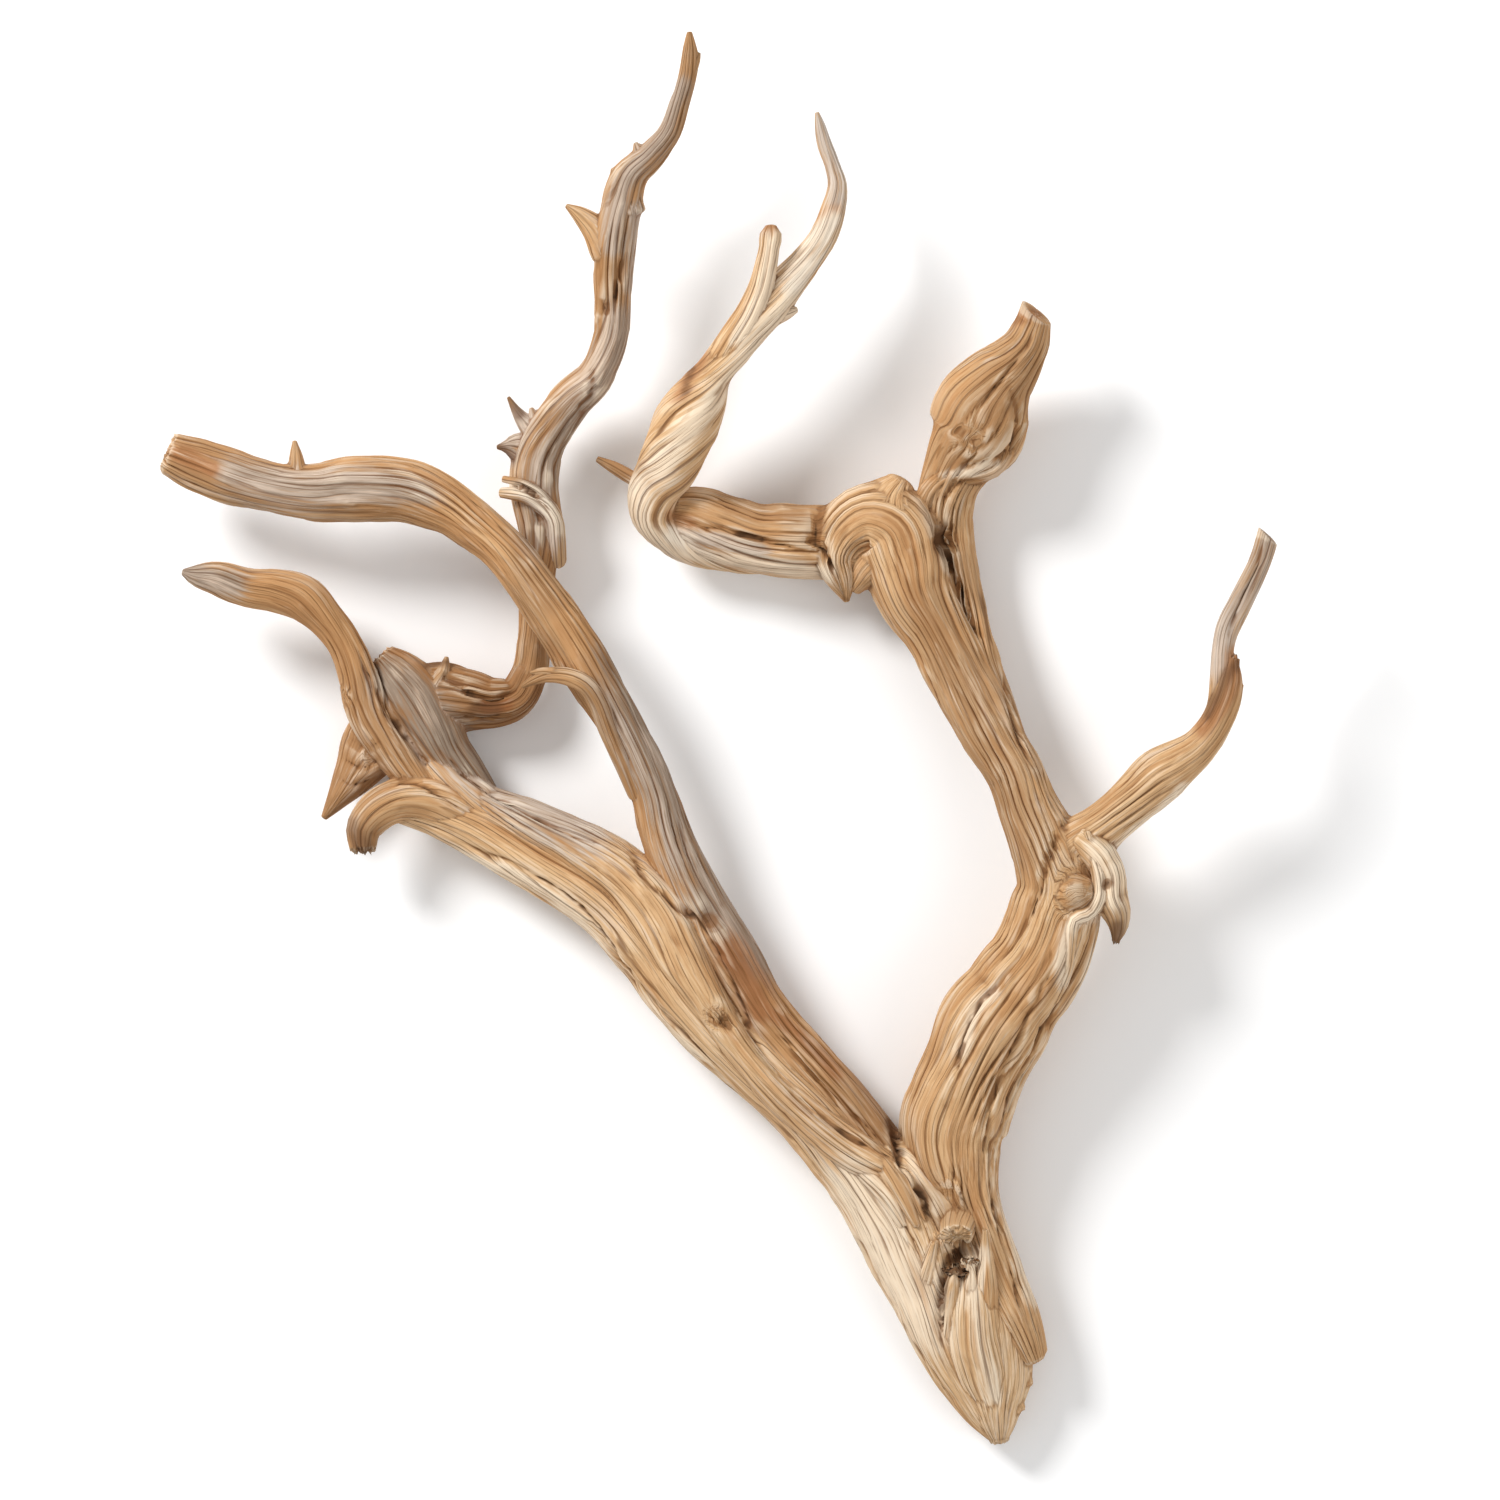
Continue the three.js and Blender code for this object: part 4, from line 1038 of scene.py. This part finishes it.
class Bench:
    """The node tree of one material."""

    def __init__(self, name):
        self.material = bpy.data.materials.new(name)
        self.material.use_nodes = True
        self.tree = self.material.node_tree
        self.tree.nodes.clear()

    def node(self, kind, settings=None, inputs=None, output=0):
        """A node with its settings, and its inputs linked or given, as one of its outputs."""
        made = self.tree.nodes.new(kind)
        for key, value in (settings or {}).items():
            if key == "stops":
                self.fill_ramp(made.color_ramp, value)
            else:
                setattr(made, key, value)
        for key, value in (inputs or {}).items():
            if isinstance(value, Wire):
                self.tree.links.new(value.socket, made.inputs[key])
            else:
                made.inputs[key].default_value = value
        return Wire(self, made.outputs[output]) if made.outputs else None

    def fill_ramp(self, ramp, stops):
        """Puts [place, colour] stops on a strip of colour that starts with two of them."""
        for place, _ in stops[2:]:
            ramp.elements.new(place)
        for element, (place, colour) in zip(ramp.elements, sorted(stops)):
            element.position = place
            element.color = colour

    def ramp(self, value, *stops):
        """A colour read off a strip of [place, web code] stops."""
        return self.node("ShaderNodeValToRGB", {"stops": [(p, rgb(c)) for p, c in stops]}, {0: value})

    def mix(self, share, first, second):
        """Two colours mixed by a share."""
        return self.node("ShaderNodeMix", {"data_type": "RGBA"}, {0: share, 6: first, 7: second}, output=2)

    def step(self, value, low, high):
        """0 below low, 1 above high, and an even S between them."""
        settings = {"interpolation_type": "SMOOTHSTEP"}
        return self.node("ShaderNodeMapRange", settings, {0: value, 1: low, 2: high, 3: 0.0, 4: 1.0})

    def layer(self, name):
        """A value that is stored on the wood under a name."""
        return self.node("ShaderNodeAttribute", {"attribute_name": name}, output=2)

    def cloud(self, place, scale, detail=2.0, roughness=0.5):
        """Soft random patches, 0 to 1, that are smaller the larger the scale."""
        inputs = {"Vector": place, "Scale": scale, "Detail": detail, "Roughness": roughness}
        return self.node("ShaderNodeTexNoise", {}, inputs)


def rgb(text):
    """A colour from its web code, as the linear values that a shader takes."""
    parts = [int(text[i : i + 2], 16) / 255 for i in (0, 2, 4)]
    return (*[p / 12.92 if p <= 0.04045 else ((p + 0.055) / 1.055) ** 2.4 for p in parts], 1.0)


def wood_grain(b):
    """The patterns that the finish is mixed from, each 0 to 1. All but two run along the grain."""
    fibre = b.node("ShaderNodeAttribute", {"attribute_name": "fibre"}, output=1)
    place = b.node("ShaderNodeTexCoord", {}, {}, output=3)

    def drawn(stretch):
        """The grain's coordinates with their length shortened, so that a pattern runs long."""
        squeeze = {0: fibre, 1: (1.0, 1.0, stretch)}
        return b.node("ShaderNodeVectorMath", {"operation": "MULTIPLY"}, squeeze)

    def grooved(turns, low, sway=0.0):
        """Lines along the layers of the grain, 1 in the line."""
        phase = b.layer("layer") * (math.pi * turns) + sway
        wave = b.node("ShaderNodeMath", {"operation": "COSINE"}, {0: phase})
        return b.step(wave, low, 1.0)

    bold = grooved(1, 0.86) * b.step(b.cloud(drawn(0.12), 0.13), 0.38, 0.6)
    thin = grooved(2, 0.84, b.cloud(drawn(0.1), 0.35) * 3.0) * b.step(b.cloud(drawn(0.2), 0.25), 0.36, 0.62)
    dash = grooved(4, 0.6, b.cloud(drawn(0.1), 0.4) * 5.0) * b.step(b.cloud(drawn(0.3), 0.35), 0.4, 0.62)
    return SimpleNamespace(
        clouds=b.cloud(place, 18.0, 3.0),
        blotches=b.cloud(place, 60.0, 3.0),
        bands=b.cloud(drawn(0.06), 0.17, 3.0, 0.6),
        streaks=b.cloud(drawn(0.04), 0.7, 3.0, 0.65),
        hair=b.cloud(drawn(0.07), 2.6, 2.0, 0.6),
        bold=bold,
        thin=thin,
        dash=dash,
    )


def marked(b, grain, name, spread=0.9):
    """A marked place, with an edge feathered along the grain."""
    feather = (grain.clouds - 0.5) * spread + (grain.bands - 0.5) * spread
    feather = feather + (grain.streaks - 0.5) * (2 * spread)
    return b.step(b.layer(name) + feather, 0.12, 0.98)


def stained_wood(b, grain):
    """The colour of the wood's faces: its brown places, partly painted shade, its grey and red places, and
    painted highlights on its pale places.
    """
    driver = grain.bands * 0.4 + grain.streaks * 0.4 + grain.clouds * 0.2 + b.layer("tone")
    tan = (0.28, "9A6C42"), (0.42, "BA8D60"), (0.53, "D0AB80"), (0.64, "E5C9A6"), (0.76, "F3E2CB")
    wood = b.ramp(driver, *tan)
    grey = b.ramp(driver, (0.36, "8C7A69"), (0.48, "B3A08F"), (0.58, "CABBAC"), (0.7, "DED5CB"))
    red = b.ramp(driver, (0.36, "87542F"), (0.5, "A5734B"), (0.64, "BF9068"))
    wood = b.mix(b.step(grain.clouds, 0.45, 0.75) * 0.25, wood, rgb("B98A5E"))
    # Darker, browner wood, partly painted shade, where the brown strokes lie.
    wood = b.mix(marked(b, grain, "brown") * 0.5, wood, rgb("886647"))
    wood = b.mix(b.step(grain.hair, 0.48, 0.75) * 0.34, wood, rgb("A1744A"))
    wood = b.mix(b.step(grain.blotches, 0.6, 0.8) * 0.15, wood, rgb("A87A50"))
    wood = b.mix(marked(b, grain, "grey"), wood, grey)
    wood = b.mix(marked(b, grain, "red") * 0.95, wood, red)
    # Painted highlights on the ridges, edges and faces that the pale strokes mark.
    return b.mix(marked(b, grain, "pale") * 0.6, wood, rgb("F4E5CE"))


def lined_wood(b, grain, wood):
    """The colour with painted highlights on its crests, painted shade in its hollows, at its seams and in its
    cracks, and its grain lines drawn in.
    """
    hollow = b.layer("hollow")
    # Painted highlight on the crests and painted shade in the hollows, from how far each point lies below the
    # wood around it.
    wood = b.mix(b.step(0 - hollow, 0.1, 0.7) * 0.38, wood, rgb("F3E3CA"))
    wood = b.mix(b.step(hollow, 0.06, 0.7) * 0.7, wood, rgb("7C502A"))
    wood = b.mix(grain.dash * 0.3, wood, rgb("A0754A"))
    wood = b.mix(grain.thin * 0.6, wood, rgb("80562D"))
    wood = b.mix(grain.bold * 0.72, wood, rgb("68401E"))
    # Painted shade where two limbs meet.
    wood = b.mix(b.step(b.layer("seam"), 0.7, 1.0) * 0.3, wood, rgb("6B4629"))
    # Painted shade in the hollows, pockets and crotches that the dark strokes mark.
    wood = b.mix(marked(b, grain, "dark", 0.5) * 0.7, wood, rgb("5F3E26"))
    # Painted shade, nearly black, inside the cracks and pockets.
    return b.mix((1 - b.step(b.layer("gap"), 0.35, 1.25)) * 0.85, wood, rgb("46301E"))


def weathered_wood():
    """Bare wood: pale ridges, partly painted highlights, between thin dark grain lines, with stained and
    bleached places and painted shade in hollows, seams and cracks.
    """
    b = Bench("weathered_wood")
    grain = wood_grain(b)
    wood = lined_wood(b, grain, stained_wood(b, grain))
    height = grain.hair * 0.25 + grain.streaks * 0.4
    height = height - grain.dash * 0.3 - grain.thin * 0.6 - grain.bold * 0.9
    bump = b.node("ShaderNodeBump", {}, {"Strength": 0.7, "Distance": 0.7 * MM, "Height": height})
    surface = {"Base Color": wood, "Roughness": 0.85, "Normal": bump, "Specular IOR Level": 0.2}
    shader = b.node("ShaderNodeBsdfPrincipled", {}, surface)
    b.node("ShaderNodeOutputMaterial", {}, {"Surface": shader})
    return b.material


# ---------------------------------------------------------------------------------------------
# The setting.

FRAME_SIDE = 0.6  # m of the table that the camera takes in
LENS, SENSOR = 300.0, 36.0  # mm
MID_HEIGHT = 0.025  # m above the table where the frame has its exact size
TABLE_HALF = 3.0  # m
SKY = 0.6  # strength of the even light from all round
LIGHTS = [  # name, place in m, size in m, power in W
    ("key", (-1.4, 1.3, 1.5), 0.8, 54.0),
    ("fill", (1.6, -0.8, 1.6), 1.6, 12.0),
]


def camera():
    """A camera with a long lens, straight above the wood."""
    data = bpy.data.cameras.new("camera")
    data.lens, data.sensor_width = LENS, SENSOR
    data.clip_start, data.clip_end = 0.1, 50.0
    eye = bpy.data.objects.new("camera", data)
    reach = FRAME_SIDE * LENS / SENSOR
    eye.location = (MIDDLE_SHIFT[0] * MM, MIDDLE_SHIFT[1] * MM, MID_HEIGHT + reach)
    bpy.context.scene.collection.objects.link(eye)
    bpy.context.scene.camera = eye


def table():
    """A plain white surface under the wood."""
    mesh = bpy.data.meshes.new("table")
    corners = [(x * TABLE_HALF, y * TABLE_HALF, 0) for x, y in ((-1, -1), (1, -1), (1, 1), (-1, 1))]
    mesh.from_pydata(corners, [], [(0, 1, 2, 3)])
    b = Bench("table_white")
    shader = b.node("ShaderNodeBsdfPrincipled", {}, {"Base Color": rgb("FAFAFA"), "Roughness": 0.9})
    b.node("ShaderNodeOutputMaterial", {}, {"Surface": shader})
    mesh.materials.append(b.material)
    top = bpy.data.objects.new("table", mesh)
    bpy.context.scene.collection.objects.link(top)


def soft_light(name, place, size, power):
    """A round light aimed at the middle of the wood."""
    data = bpy.data.lights.new(name, "AREA")
    data.shape, data.size, data.energy = "DISK", size, power
    lamp = bpy.data.objects.new(name, data)
    lamp.location = place
    lamp.rotation_euler = (-Vector(place)).to_track_quat("-Z", "Y").to_euler()
    bpy.context.scene.collection.objects.link(lamp)


def studio():
    """Soft white light from all round, with one stronger side."""
    world = bpy.data.worlds.new("studio")
    world.use_nodes = True
    sky = world.node_tree.nodes["Background"].inputs
    sky["Color"].default_value = (1.0, 1.0, 1.0, 1.0)
    sky["Strength"].default_value = SKY
    bpy.context.scene.world = world
    bpy.context.scene.view_settings.view_transform = "Standard"
    for light in LIGHTS:
        soft_light(*light)


# ---------------------------------------------------------------------------------------------
# Putting it together.


def main():
    """Builds the setting and the wood, which stands in for the part's one solid."""
    camera()
    studio()
    table()
    wood_finish = weathered_wood()
    mesh = grown_together([*left_limbs(), *right_limbs(), *small_parts()])
    work_by_hand(mesh)
    mesh = with_frayed_fibres(mesh, wood_finish)
    wood = bpy.data.objects.new("driftwood_skin", mesh)
    bpy.context.scene.collection.objects.link(wood)
    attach(wood, "root")
    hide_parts("driftwood")


main()
